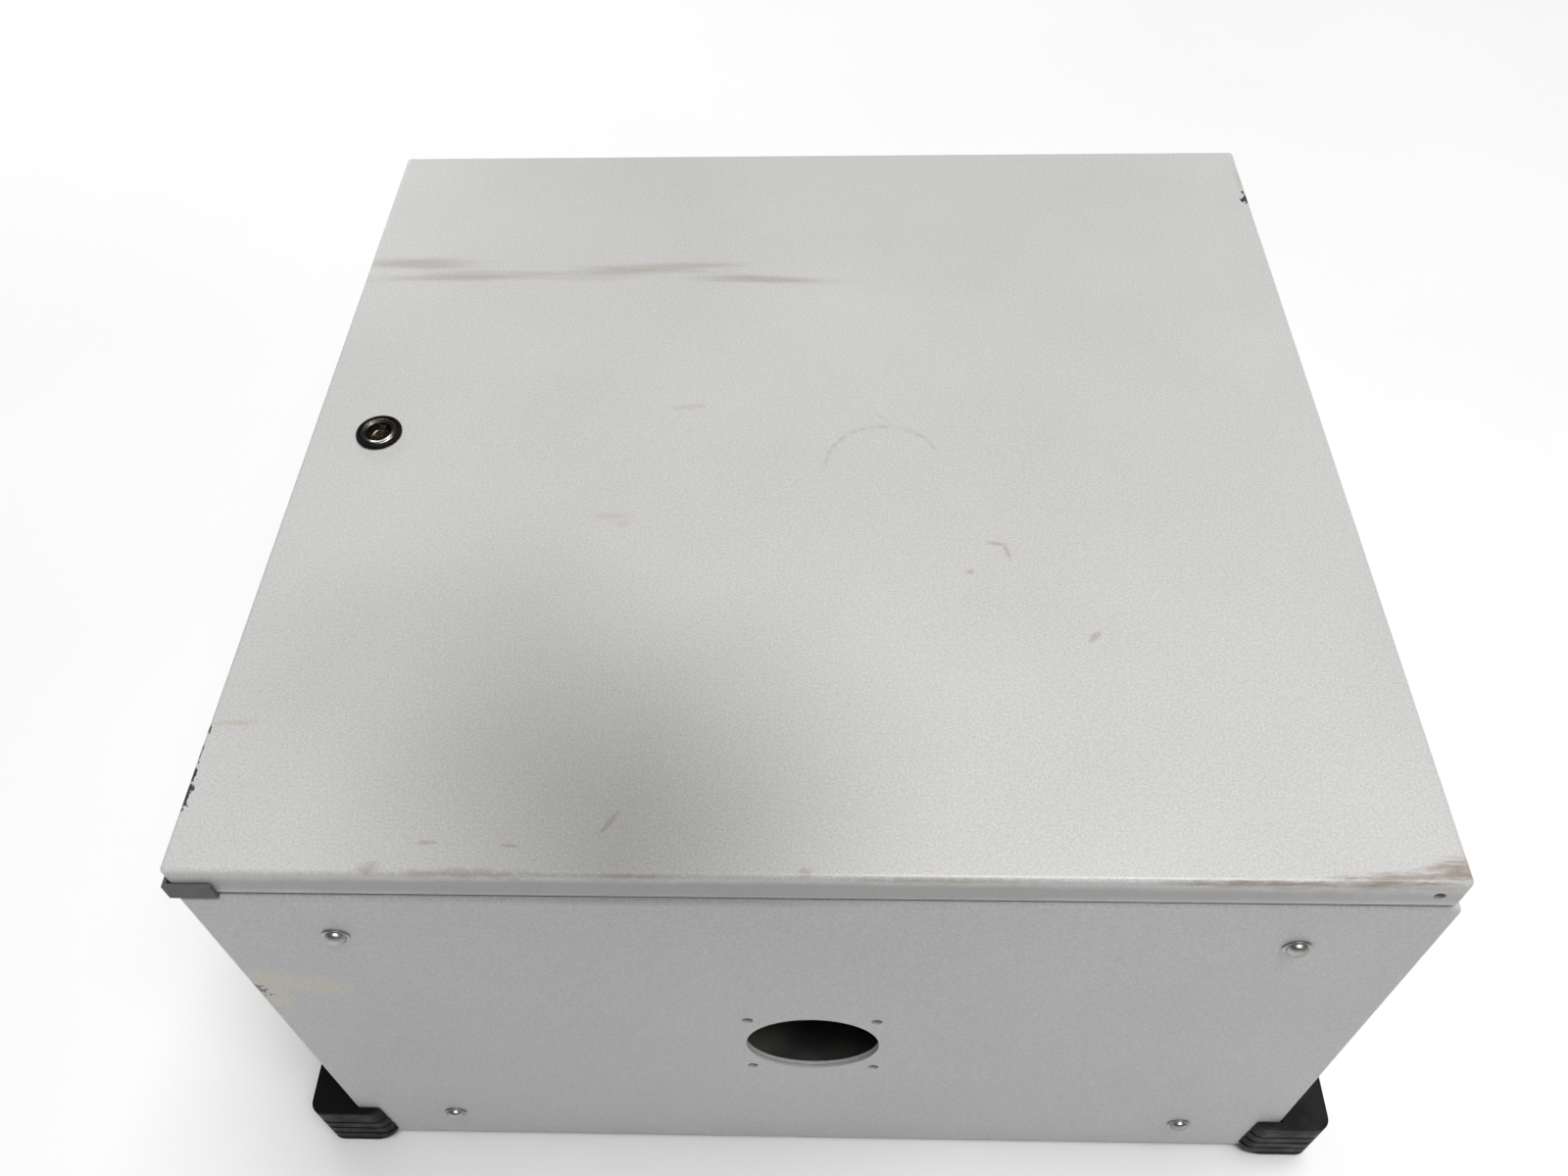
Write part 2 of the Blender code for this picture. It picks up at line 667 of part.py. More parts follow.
def door_outline(inset):
    """The door's outline, this far inside its edge."""
    outline = inset_outline(DOOR_HALF_X, DOOR_HALF_Y, inset, DOOR_CORNER_RADIUS)
    return [(DOOR_SHIFT + x, y) for x, y in outline]


def build_door_panel(pivot):
    """The pan-shaped door, with its returns, lock hole, access hole and hinge notches."""
    edge = DOOR_EDGE_RADIUS
    inner = edge - DOOR_SHEET
    section = [(DOOR_SHEET + inner, SKIN_Z), (DOOR_SHEET, SKIN_Z - inner), (DOOR_SHEET, DOOR_EDGE_Z)]
    section += [(0, DOOR_EDGE_Z)]
    section += arc((edge, FACE_Z - edge), edge, 180, 90, BEND)
    bm = bmesh.new()
    add_loft(bm, [(door_outline(inset), z) for inset, z in section])
    door = make_piece("door_panel", bm, "powder coat", world_place(pivot), pivot)

    holes = bmesh.new()
    add_rod(holes, LOCK_BARREL_RADIUS + GAP, SKIN_Z - DOOR_SHEET, FACE_Z + DOOR_SHEET, FINE,
            at(LOCK_X, LOCK_HEIGHT))
    hole_x = DOOR_HINGE_EDGE_X - ACCESS_HOLE_EDGE
    hole_z = FACE_Z - ACCESS_HOLE_DROP
    place = along_y(hole_x, hole_z, -DOOR_HALF_Y)
    add_rod(holes, ACCESS_HOLE_RADIUS, -2 * DOOR_SHEET, DOOR_SHEET, ROUND, place)
    for _, middle in hinge_middles():
        low = (DOOR_HINGE_EDGE_X - 2 * DOOR_SHEET, middle - HINGE_NOTCH / 2, DOOR_EDGE_Z - DOOR_SHEET)
        high = (DOOR_HINGE_EDGE_X + DOOR_SHEET, middle + HINGE_NOTCH / 2, SKIN_Z - HINGE_NOTCH_LAND)
        add_box(holes, low, high)
    apply_tool(door, holes, "DIFFERENCE")


def corner_strip(near, far, end_length, side_length):
    """An L-shaped outline along two door edges, between two insets from them."""
    edge_x = DOOR_LOCK_EDGE_X
    edge_y = -DOOR_HALF_Y
    return [
        (edge_x + near, edge_y + near),
        (edge_x + end_length, edge_y + near),
        (edge_x + end_length, edge_y + far),
        (edge_x + far, edge_y + far),
        (edge_x + far, edge_y + side_length),
        (edge_x + near, edge_y + side_length),
    ]


def build_door_corner_buffer(pivot):
    """A grey plastic buffer pushed over the edge of the door return, just above the rim."""
    outside = -GAP - BUFFER_WALL
    slot_far = DOOR_SHEET + 2 * GAP
    top = DOOR_EDGE_Z + BUFFER_LAP
    bm = bmesh.new()
    outline = corner_strip(outside, slot_far + BUFFER_WALL, BUFFER_END_LENGTH, BUFFER_SIDE_LENGTH)
    add_prism(bm, outline, RIM_Z + GAP, top)
    buffer = make_piece("door_corner_buffer", bm, "grey plastic", world_place(pivot), pivot)
    slot = bmesh.new()
    outline = corner_strip(-GAP, slot_far, 2 * BUFFER_END_LENGTH, 2 * BUFFER_SIDE_LENGTH)
    add_prism(slot, outline, DOOR_EDGE_Z - GAP, top + BUFFER_WALL)
    apply_tool(buffer, slot, "DIFFERENCE")


def build_door_gasket(pivot):
    """Foam seal on the door, over the body's lip."""
    half_x = BODY_WIDTH / 2 - LIP_INSET + GASKET_WIDTH / 2
    half_y = BODY_HEIGHT / 2 - LIP_INSET + GASKET_WIDTH / 2
    bm = bmesh.new()
    corner = GASKET_CORNER_RADIUS + GASKET_WIDTH / 2
    outer = inset_outline(half_x, half_y, 0, corner)
    inner = inset_outline(half_x, half_y, GASKET_WIDTH, corner)
    add_frame(bm, outer, inner, GASKET_Z, GASKET_Z + GASKET_THICKNESS)
    make_piece("door_gasket", bm, "foam", world_place(pivot), pivot)


def build_door_rail(name, middle_x, pivot):
    """A perforated channel welded inside the door."""
    top = SKIN_Z - GAP
    low = top - RAIL_DEPTH
    half = RAIL_WIDTH / 2
    end = BODY_HEIGHT / 2 - RAIL_END_MARGIN
    inner = half - RAIL_SHEET
    outline = [
        (middle_x - half, low), (middle_x + half, low), (middle_x + half, top), (middle_x + inner, top),
        (middle_x + inner, low + RAIL_SHEET), (middle_x - inner, low + RAIL_SHEET),
        (middle_x - inner, top), (middle_x - half, top),
    ]
    bm = bmesh.new()
    add_prism(bm, outline, -end, end, along_y(0, 0))
    rail = make_piece(name, bm, "powder coat", world_place(pivot), pivot)
    holes = bmesh.new()
    count = int((end - RAIL_WIDTH / 2) / RAIL_HOLE_PITCH)
    for index in range(-count, count + 1):
        place = at(middle_x, index * RAIL_HOLE_PITCH)
        add_rod(holes, RAIL_HOLE_RADIUS, low - RAIL_SHEET, low + 2 * RAIL_SHEET, COARSE, place)
    apply_tool(rail, holes, "DIFFERENCE")


# ---- hinges ----

def ear_outline():
    """The body ear, seen along the axis: a foot inside the axis and a round knuckle."""
    low = RIM_Z + GAP
    points = [(EAR_TOE_X, low), (HINGE_X - EAR_HEEL, low)]
    points += arc((HINGE_X, HINGE_Z), KNUCKLE_RADIUS, -45, 150, ROUND // 2)
    return points


def build_hinge(name, middle, pivot):
    """One hinge: the body's bracket, the door's leaf and the pin."""
    ear_start = EAR_MIDDLE / 2 + TURN_GAP
    ear_end = ear_start + EAR_THICKNESS
    base_low = RIM_Z + GAP
    base_high = base_low + HINGE_SHEET
    axis = (HINGE_X, middle, HINGE_Z)

    bm = bmesh.new()
    add_box(bm, (EAR_TOE_X, middle - HINGE_LENGTH / 2, base_low),
            (HINGE_X - EAR_HEEL, middle + HINGE_LENGTH / 2, base_high))
    bracket = make_piece("hinge_bracket_" + name, bm, "zinc", axis)
    ears = bmesh.new()
    for side in (-1, 1):
        near = min(side * ear_start, side * ear_end)
        far = max(side * ear_start, side * ear_end)
        add_prism(ears, ear_outline(), near, far, along_y(0, 0, middle))
    apply_tool(bracket, ears, "UNION")
    holes = bmesh.new()
    add_rod(holes, PIN_RADIUS + GAP, -HINGE_LENGTH, HINGE_LENGTH, ROUND, along_y(HINGE_X, HINGE_Z, middle))
    for _, x, y in hinge_screw_places():
        if abs(y - middle) < HINGE_LENGTH / 2:
            add_rod(holes, M5["radius"] + GAP, base_low - GAP, base_high + GAP, COARSE, at(x, y))
    apply_tool(bracket, holes, "DIFFERENCE")

    # The leaf is welded under the door skin, and its knuckle turns between the ears
    leaf_top = SKIN_Z - GAP
    leaf_low = leaf_top - HINGE_SHEET
    bm = bmesh.new()
    add_box(bm, (HINGE_X - HINGE_LEAF_WIDTH, middle - HINGE_LEAF_LENGTH / 2, leaf_low),
            (HINGE_X, middle + HINGE_LEAF_LENGTH / 2, leaf_top))
    leaf = make_piece("hinge_leaf_" + name, bm, "zinc", axis, pivot)
    knuckle = bmesh.new()
    outline = arc((HINGE_X, HINGE_Z), KNUCKLE_RADIUS, 180, 405, ROUND // 2)
    leaf_inside = (leaf_low + leaf_top) / 2
    outline += [(HINGE_X - TURN_GAP, leaf_inside), (HINGE_X - HINGE_LEAF_WIDTH + TURN_GAP, leaf_inside)]
    add_prism(knuckle, outline, -EAR_MIDDLE / 2, EAR_MIDDLE / 2, along_y(0, 0, middle))
    apply_tool(leaf, knuckle, "UNION")
    bore = bmesh.new()
    add_rod(bore, PIN_RADIUS + GAP, -HINGE_LENGTH, HINGE_LENGTH, ROUND, along_y(HINGE_X, HINGE_Z, middle))
    apply_tool(leaf, bore, "DIFFERENCE")

    # The pin's own +Z runs to -Y, so its head is at the upper end
    head_low = -(ear_end + GAP)
    bm = bmesh.new()
    levels = [
        (circle(PIN_HEAD_RADIUS, ROUND), head_low - PIN_HEAD),
        (circle(PIN_HEAD_RADIUS, ROUND), head_low),
        (circle(PIN_RADIUS, ROUND), head_low),
        (circle(PIN_RADIUS, ROUND), ear_end + THREAD_END),
    ]
    add_loft(bm, levels, along_y(HINGE_X, HINGE_Z, middle))
    make_piece("hinge_pin_" + name, bm, "zinc", axis)


def build_hinge_screws():
    """Screws that hold the brackets, with their threads in the rim."""
    head_low = RIM_Z + HINGE_SHEET + 2 * GAP
    head_top = head_low + M5["head_height"]
    thread = circle(M5["radius"], COARSE)
    head = circle(M5["head"], COARSE)
    crown = circle(M5["head"] - M5["head_height"] / 2, COARSE)
    for name, x, y in hinge_screw_places():
        levels = [
            (thread, RIM_Z - BODY_SHEET - HINGE_SCREW_END),
            (thread, head_low),
            (head, head_low),
            (head, head_top - M5["head_height"] / 2),
            (crown, head_top),
        ]
        bm = bmesh.new()
        add_loft(bm, levels, at(x, y))
        make_piece("hinge_screw_" + name, bm, "zinc", (x, y, head_low))


# ---- lock ----

def build_lock_case(pivot):
    """The pieces of the lock that stay still in the door."""
    place = at(LOCK_X, LOCK_HEIGHT)
    seal_low = FACE_Z + GAP
    flange_low = seal_low + LOCK_SEAL + GAP
    flange_top = flange_low + LOCK_FLANGE
    barrel_end = SKIN_Z - LOCK_BARREL_BELOW
    recess = flange_top - CUP_LIP - 2 * GAP
    edge = LOCK_FLANGE / 4
    section = [
        (LOCK_BARREL_RADIUS, barrel_end),
        (LOCK_BARREL_RADIUS, flange_low),
        (LOCK_FLANGE_RADIUS, flange_low),
        (LOCK_FLANGE_RADIUS, flange_top - edge),
        (LOCK_FLANGE_RADIUS - edge, flange_top),
        (CUP_RADIUS + GAP, flange_top),
        (CUP_RADIUS + GAP, recess),
        (LOCK_BORE_RADIUS, recess),
        (LOCK_BORE_RADIUS, barrel_end),
    ]
    bm = bmesh.new()
    add_hoop(bm, [(circle(radius, FINE), z) for radius, z in section], place)
    make_piece("lock_housing", bm, "black plastic", world_place(pivot), pivot)

    bm = bmesh.new()
    add_frame(bm, circle(LOCK_SEAL_RADIUS, FINE), circle(LOCK_BARREL_RADIUS + GAP, FINE),
              seal_low, seal_low + LOCK_SEAL, place)
    make_piece("lock_seal", bm, "foam", world_place(pivot), pivot)

    bm = bmesh.new()
    nut_top = SKIN_Z - GAP
    outer = polygon_by_angle(LOCK_NUT_FLATS / 2, 6, 24)
    inner = circle(LOCK_BARREL_RADIUS + GAP, 24)
    add_frame(bm, outer, inner, nut_top - LOCK_NUT, nut_top, place)
    make_piece("lock_nut", bm, "zinc", world_place(pivot), pivot)


def build_lock_insert(pivot):
    """The turning insert: a cup with a double bit, a round body and a square end."""
    place = at(LOCK_X, LOCK_HEIGHT)
    cup_top = FACE_Z + 2 * GAP + LOCK_SEAL + LOCK_FLANGE
    cup_low = cup_top - CUP_LIP - GAP
    floor = cup_top - CUP_DEPTH
    body_radius = LOCK_BORE_RADIUS - GAP
    body_end = SKIN_Z - LOCK_BARREL_BELOW
    cam_low = RIM_Z - BODY_SHEET - CAM_CLEARANCE - CAM_SHEET
    square = polygon_by_angle(LOCK_SQUARE / 2, 4, FINE)
    screw_hole = circle(CAM_SCREW_RADIUS + GAP, FINE)
    levels = [
        (screw_hole, cam_low + CAM_SCREW_DEPTH),
        (screw_hole, cam_low),
        (square, cam_low),
        (square, body_end),
        (circle(body_radius, FINE), body_end),
        (circle(body_radius, FINE), cup_low),
        (circle(CUP_RADIUS, FINE), cup_low),
        (circle(CUP_RADIUS, FINE), cup_top - CUP_LIP / 3),
        (circle(CUP_RADIUS - CUP_LIP / 3, FINE), cup_top),
        (circle(CUP_MOUTH_RADIUS, FINE), cup_top),
        (circle(body_radius - CUP_WALL, FINE), cup_low + CUP_LIP / 2),
        (circle(CUP_FLOOR_RADIUS, FINE), floor),
    ]
    bm = bmesh.new()
    add_loft(bm, levels, place)
    insert = make_piece("lock_insert", bm, "chrome", world_place(pivot), pivot)

    # A round pin with a wing each way, standing on the floor of the cup
    half = BIT_THICKNESS / 2
    flank = math.degrees(math.acos(half / BIT_RADIUS))
    outline = arc((0, 0), BIT_RADIUS, -flank, flank, COARSE)
    outline += [(half, BIT_REACH), (-half, BIT_REACH)]
    outline += arc((0, 0), BIT_RADIUS, 180 - flank, 180 + flank, COARSE)
    outline += [(-half, -BIT_REACH), (half, -BIT_REACH)]
    bit = bmesh.new()
    add_prism(bit, outline, floor - GAP, floor + BIT_HEIGHT, place)
    apply_tool(insert, bit, "UNION")


def build_lock_cam(pivot):
    """The cam that turns under the rim, and its flanged screw."""
    place = at(LOCK_X, LOCK_HEIGHT)
    cam_top = RIM_Z - BODY_SHEET - CAM_CLEARANCE
    cam_low = cam_top - CAM_SHEET
    half = CAM_WIDTH / 2
    tip = CAM_TIP_RADIUS
    reach = RIM_WIDTH + LOCK_FROM_LIP - BODY_SHEET - CAM_WALL_GAP
    outline = arc((0, 0), half, 180, 360, ROUND // 2)
    outline += arc((half - tip, reach - tip), tip, 0, 90, CORNER)
    outline += arc((tip - half, reach - tip), tip, 90, 180, CORNER)
    bm = bmesh.new()
    add_prism(bm, outline, cam_low, cam_top, place)
    cam = make_piece("lock_cam", bm, "zinc", world_place(pivot), pivot)
    hole = bmesh.new()
    square = polygon_by_angle(LOCK_SQUARE / 2 + GAP, 4, COARSE)
    add_prism(hole, square, cam_low - CAM_SHEET, cam_top + CAM_SHEET, place)
    apply_tool(cam, hole, "DIFFERENCE")

    flange_top = cam_low - GAP
    flange_low = flange_top - CAM_SCREW_FLANGE
    hexagon = polygon_by_angle(M5["flats"] / 2, 6, 12)
    levels = [
        (hexagon, flange_low - CAM_SCREW_HEAD),
        (hexagon, flange_low),
        (circle(CAM_SCREW_FLANGE_RADIUS, 12), flange_low),
        (circle(CAM_SCREW_FLANGE_RADIUS, 12), flange_top),
        (circle(CAM_SCREW_RADIUS, 12), flange_top),
        (circle(CAM_SCREW_RADIUS, 12), cam_low + CAM_SCREW_DEPTH - GAP),
    ]
    bm = bmesh.new()
    add_loft(bm, levels, place)
    make_piece("lock_cam_screw", bm, "zinc", world_place(pivot), pivot)


# ---- earth studs ----

def build_earth_stud(name, x, y, base, direction, parent=None):
    """A welded stud with a nut, standing up (1) or hanging down (-1) from its sheet."""
    def span(near, far):
        return sorted((base + direction * near, base + direction * far))

    origin = world_place(parent) if parent else (x, y, base)
    low, high = span(GAP, GAP + EARTH_STUD_LENGTH)
    bm = bmesh.new()
    add_rod(bm, M8["radius"], low, high, ROUND, at(x, y))
    make_piece(name + "_stud", bm, "zinc", origin, parent)
    low, high = span(2 * GAP, 2 * GAP + M8["nut"])
    bm = bmesh.new()
    add_nut(bm, M8, low, at(x, y))
    make_piece(name + "_nut", bm, "zinc", origin, parent)


# ---- the whole ----

def build_body():
    """Everything that stays still."""
    build_body_wrap()
    build_back_panel()
    build_subpanel()
    build_inner_plate()
    for name, x, y in foot_screw_places():
        build_foot(name, x, y)
    build_hinge_screws()
    earth_x = BODY_WIDTH / 2 - EARTH_SIDE
    build_earth_stud("body_earth", earth_x, EARTH_BODY_END - BODY_HEIGHT / 2, PANEL_TOP_Z, 1)


def build_door(door_pivot, lock_pivot):
    """Everything that swings, and the lock that turns in it."""
    build_door_panel(door_pivot)
    build_door_gasket(door_pivot)
    build_door_corner_buffer(door_pivot)
    build_door_rail("door_rail_lock_side", LOCK_X + RAIL_FROM_LOCK, door_pivot)
    build_door_rail("door_rail_hinge_side", HINGE_X - RAIL_FROM_HINGE, door_pivot)
    earth_x = BODY_WIDTH / 2 - EARTH_SIDE
    build_earth_stud("door_earth", earth_x, EARTH_DOOR_END - BODY_HEIGHT / 2, SKIN_Z, -1, door_pivot)
    build_lock_case(door_pivot)
    build_lock_insert(lock_pivot)
    build_lock_cam(lock_pivot)


def main():
    """Clears the scene and builds every piece."""
    for item in list(bpy.data.objects):
        bpy.data.objects.remove(item)
    door_pivot = make_pivot("door_pivot", (HINGE_X, 0, HINGE_Z))
    lock_pivot = make_pivot("lock_pivot", (LOCK_X, LOCK_HEIGHT, FACE_Z), door_pivot)
    build_body()
    build_door(door_pivot, lock_pivot)
    for name, middle in hinge_middles():
        build_hinge(name, middle, door_pivot)


main()
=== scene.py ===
import json
import math

import bmesh
import bpy
from mathutils import Matrix, Vector


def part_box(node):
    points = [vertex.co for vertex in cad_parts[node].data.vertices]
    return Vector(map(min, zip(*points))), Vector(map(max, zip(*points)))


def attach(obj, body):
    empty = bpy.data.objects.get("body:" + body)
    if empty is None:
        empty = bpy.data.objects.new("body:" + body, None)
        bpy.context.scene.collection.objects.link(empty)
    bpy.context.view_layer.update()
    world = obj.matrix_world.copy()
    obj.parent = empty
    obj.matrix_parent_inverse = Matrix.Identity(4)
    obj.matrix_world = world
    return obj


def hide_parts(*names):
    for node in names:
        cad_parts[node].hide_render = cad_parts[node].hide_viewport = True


# Sheet-steel enclosure lying on its back: +Z out of the door, +X hinge side, -Y bottom end
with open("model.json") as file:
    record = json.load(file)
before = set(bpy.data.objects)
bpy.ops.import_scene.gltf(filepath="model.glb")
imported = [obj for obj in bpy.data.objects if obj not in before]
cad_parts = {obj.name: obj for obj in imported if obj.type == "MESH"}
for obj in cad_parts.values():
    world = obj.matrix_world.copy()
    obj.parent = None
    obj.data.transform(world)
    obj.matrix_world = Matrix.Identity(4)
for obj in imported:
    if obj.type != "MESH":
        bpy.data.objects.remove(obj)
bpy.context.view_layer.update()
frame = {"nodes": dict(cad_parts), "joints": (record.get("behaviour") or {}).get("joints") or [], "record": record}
nodes = frame["nodes"]
mm = 0.001
gap = 0.3 * mm  # room left between two pieces that touch


# Outlines and solids

def circlePoints(radius, steps):
    return [(radius * math.cos(2 * math.pi * i / steps), radius * math.sin(2 * math.pi * i / steps))
            for i in range(steps)]


def arcPoints(centre, radius, start, end, steps):
    points = []
    for i in range(steps + 1):
        angle = math.radians(start + (end - start) * i / steps)
        points.append((centre[0] + radius * math.cos(angle), centre[1] + radius * math.sin(angle)))
    return points


def roundedOutline(low, high, radius, steps):
    points = []
    for x, y, start in ((high[0] - radius, low[1] + radius, -90), (high[0] - radius, high[1] - radius, 0),
                        (low[0] + radius, high[1] - radius, 90), (low[0] + radius, low[1] + radius, 180)):
        points += arcPoints((x, y), radius, start, start + 90, steps)
    return points


def insetOutline(low, high, inset, radius, steps=8):
    kept = max(radius - inset, 0.5 * mm)  # a folded corner never gets sharper than this
    return roundedOutline((low[0] + inset, low[1] + inset), (high[0] - inset, high[1] - inset), kept, steps)


def polygonPoints(inRadius, sides, steps, cut=None):
    # a regular polygon read at as many points as a circle, its corners cut at a radius
    points = []
    for i in range(steps):
        angle = 2 * math.pi * i / steps
        side = 2 * math.pi / sides
        offFlat = (angle + side / 2) % side - side / 2
        reach = inRadius / math.cos(offFlat)
        if cut:
            reach = min(reach, cut)
        points.append((reach * math.cos(angle), reach * math.sin(angle)))
    return points


def addLoft(bm, levels, closed=False):
    # a solid through (outline, height) levels; closed levels run round a section and leave a hole
    rings = [[bm.verts.new((x, y, z)) for x, y in outline] for outline, z in levels]
    pairs = list(zip(rings, rings[1:]))
    if closed:
        pairs.append((rings[-1], rings[0]))
    for lower, upper in pairs:
        for i in range(len(lower)):
            j = (i + 1) % len(lower)
            bm.faces.new((lower[i], lower[j], upper[j], upper[i]))
    if not closed:
        bm.faces.new(rings[0])
        bm.faces.new(rings[-1])


def addBlock(bm, low, high):
    outline = [(low[0], low[1]), (high[0], low[1]), (high[0], high[1]), (low[0], high[1])]
    addLoft(bm, [(outline, low[2]), (outline, high[2])])


def lathe(levels, steps):
    return [(circlePoints(radius, steps), z) for radius, z in levels]


def newPiece(name, bm, place=None):
    bmesh.ops.recalc_face_normals(bm, faces=bm.faces[:])
    mesh = bpy.data.meshes.new(name)
    bm.to_mesh(mesh)
    bm.free()
    if place:
        mesh.transform(place)
    piece = bpy.data.objects.new(name, mesh)
    bpy.context.scene.collection.objects.link(piece)
    return piece


def settle(piece):
    # every live modifier becomes plain mesh
    graph = bpy.context.evaluated_depsgraph_get()
    mesh = bpy.data.meshes.new_from_object(piece.evaluated_get(graph))
    piece.modifiers.clear()
    piece.data = mesh
    return piece


def combine(piece, bm, operation="DIFFERENCE", place=None):
    tool = newPiece(piece.name + ".tool", bm, place)
    boolean = piece.modifiers.new("boolean", "BOOLEAN")
    boolean.operation = operation
    boolean.solver = "EXACT"
    boolean.object = tool
    settle(piece)
    bpy.data.objects.remove(tool)
    return piece


def smoothShade(piece, angle=35):
    # soft bends, crisp cut edges, and flats that stay flat
    piece.data.shade_smooth()
    piece.data.set_sharp_from_angle(angle=math.radians(angle))
    weighted = piece.modifiers.new("weighted", "WEIGHTED_NORMAL")
    weighted.keep_sharp = True
    return settle(piece)


def bevelEdges(piece, width, segments=3, angle=30):
    bevel = piece.modifiers.new("bevel", "BEVEL")
    bevel.width = width
    bevel.segments = segments
    bevel.limit_method = "ANGLE"
    bevel.angle_limit = math.radians(angle)
    return settle(piece)


def facing(x, z, y=0.0):
    # stands a solid on the bottom wall, its own +Z pointing out of it
    return Matrix.Translation((x, y, z)) @ Matrix.Rotation(math.radians(90), 4, "X")


# Node trees

def addNode(tree, kind, inputs=None, **settings):
    node = tree.nodes.new(kind)
    for name, value in settings.items():
        setattr(node, name, value)
    for key, value in (inputs or {}).items():
        if isinstance(value, bpy.types.NodeSocket):
            tree.links.new(value, node.inputs[key])
        else:
            node.inputs[key].default_value = value
    return node


def newTree(name, sizes):
    # a Geometry Nodes tree with named inputs
    tree = bpy.data.node_groups.new(name, "GeometryNodeTree")
    for label, kind in [("Geometry", "NodeSocketGeometry"), *sizes]:
        tree.interface.new_socket(label, in_out="INPUT", socket_type=kind)
    tree.interface.new_socket("Geometry", in_out="OUTPUT", socket_type="NodeSocketGeometry")
    return tree, addNode(tree, "NodeGroupInput").outputs


def endTree(tree, geometry, material):
    realized = addNode(tree, "GeometryNodeRealizeInstances", {"Geometry": geometry})
    painted = addNode(tree, "GeometryNodeSetMaterial",
                      {"Geometry": realized.outputs[0], "Material": material})
    addNode(tree, "NodeGroupOutput", {0: painted.outputs[0]})
    return tree


def growTree(name, tree, values, source=None, place=None):
    piece = source or newPiece(name, bmesh.new())
    modifier = piece.modifiers.new("nodes", "NODES")
    modifier.node_group = tree
    for socket in tree.interface.items_tree:
        if socket.in_out == "INPUT" and socket.name in values:
            modifier[socket.identifier] = values[socket.name]
    settle(piece)
    if place:
        piece.data.transform(place)
    return piece


# Materials

def hexColour(code):
    # sRGB hex to linear
    channels = []
    for start in (1, 3, 5):
        value = int(code[start:start + 2], 16) / 255
        channels.append(value / 12.92 if value <= 0.04045 else ((value + 0.055) / 1.055) ** 2.4)
    return (*channels, 1.0)


def newMaterial(name, metallic=0.0, **sockets):
    material = bpy.data.materials.new(name)
    material.use_nodes = True
    tree = material.node_tree
    tree.nodes.clear()
    values = {"Metallic": metallic}
    values.update({key.replace("_", " "): value for key, value in sockets.items()})
    shader = addNode(tree, "ShaderNodeBsdfPrincipled", values)
    addNode(tree, "ShaderNodeOutputMaterial", {"Surface": shader.outputs[0]})
    coords = addNode(tree, "ShaderNodeTexCoord").outputs["Object"]
    return material, tree, shader, coords


def mixColours(tree, share, first, second, blend="MIX"):
    return addNode(tree, "ShaderNodeMix", {0: share, 6: first, 7: second},
                   data_type="RGBA", blend_type=blend).outputs[2]


def spread(tree, value, low, high, newLow=0.0, newHigh=1.0):
    return addNode(tree, "ShaderNodeMapRange", {0: value, 1: low, 2: high, 3: newLow, 4: newHigh},
                   interpolation_type="SMOOTHSTEP").outputs[0]


def noiseOf(tree, coords, perMetre, detail=2.0, roughness=0.5, stretch=None):
    vector = coords
    if stretch:
        vector = addNode(tree, "ShaderNodeMapping", {"Vector": coords, "Scale": stretch}).outputs[0]
    return addNode(tree, "ShaderNodeTexNoise", {"Vector": vector, "Scale": perMetre, "Detail": detail,
                                                "Roughness": roughness}).outputs["Fac"]


def patchMask(tree, coords, patches):
    # the strongest of several soft ellipsoids: place, half sizes in mm, turn in degrees about Z or Y
    strongest = None
    for x, y, z, sizeX, sizeY, sizeZ, turnY, turnZ in patches:
        local = addNode(tree, "ShaderNodeMapping", {
            "Vector": coords, "Location": (x * mm, y * mm, z * mm),
            "Rotation": (0, math.radians(turnY), math.radians(turnZ)),
            "Scale": (sizeX * mm, sizeY * mm, sizeZ * mm)}, vector_type="TEXTURE").outputs[0]
        ball = addNode(tree, "ShaderNodeTexGradient", {"Vector": local},
                       gradient_type="SPHERICAL").outputs["Fac"]
        if strongest:
            strongest = addNode(tree, "ShaderNodeMath", {0: strongest, 1: ball},
                                operation="MAXIMUM").outputs[0]
        else:
            strongest = ball
    return strongest


def stainAndShadeMask(tree, coords, stainOrShade):
    # ragged soft edge: the patches' falloff broken up by noise
    falloff = patchMask(tree, coords, stainOrShade["patches"])
    noise = noiseOf(tree, coords, stainOrShade["perMetre"], 4.0, 0.62, stainOrShade.get("stretch"))
    broken = addNode(tree, "ShaderNodeMath", {0: noise, 1: stainOrShade["breakUp"]}, operation="MULTIPLY").outputs[0]
    total = addNode(tree, "ShaderNodeMath", {0: falloff, 1: broken}, operation="ADD").outputs[0]
    start = stainOrShade["breakUp"] * 0.5
    rough = spread(tree, total, start + stainOrShade["edge"], start + stainOrShade["edge"] + stainOrShade["softness"])
    inside = spread(tree, falloff, 0.0, 0.12)
    whole = addNode(tree, "ShaderNodeMath", {0: rough, 1: inside}, operation="MULTIPLY").outputs[0]
    return addNode(tree, "ShaderNodeMath", {0: whole, 1: stainOrShade["amount"]}, operation="MULTIPLY").outputs[0]


coatSizes = {
    "grainPerMetre": 430.0,  # orange peel, drawn 2.3 mm apart so that it shows
    "finePerMetre": 850.0,   # the powder's own fleck, drawn 1.2 mm apart
    "patchPerMetre": 5.0,    # uneven film over a hand's width
    "bump": 0.07 * mm,
}


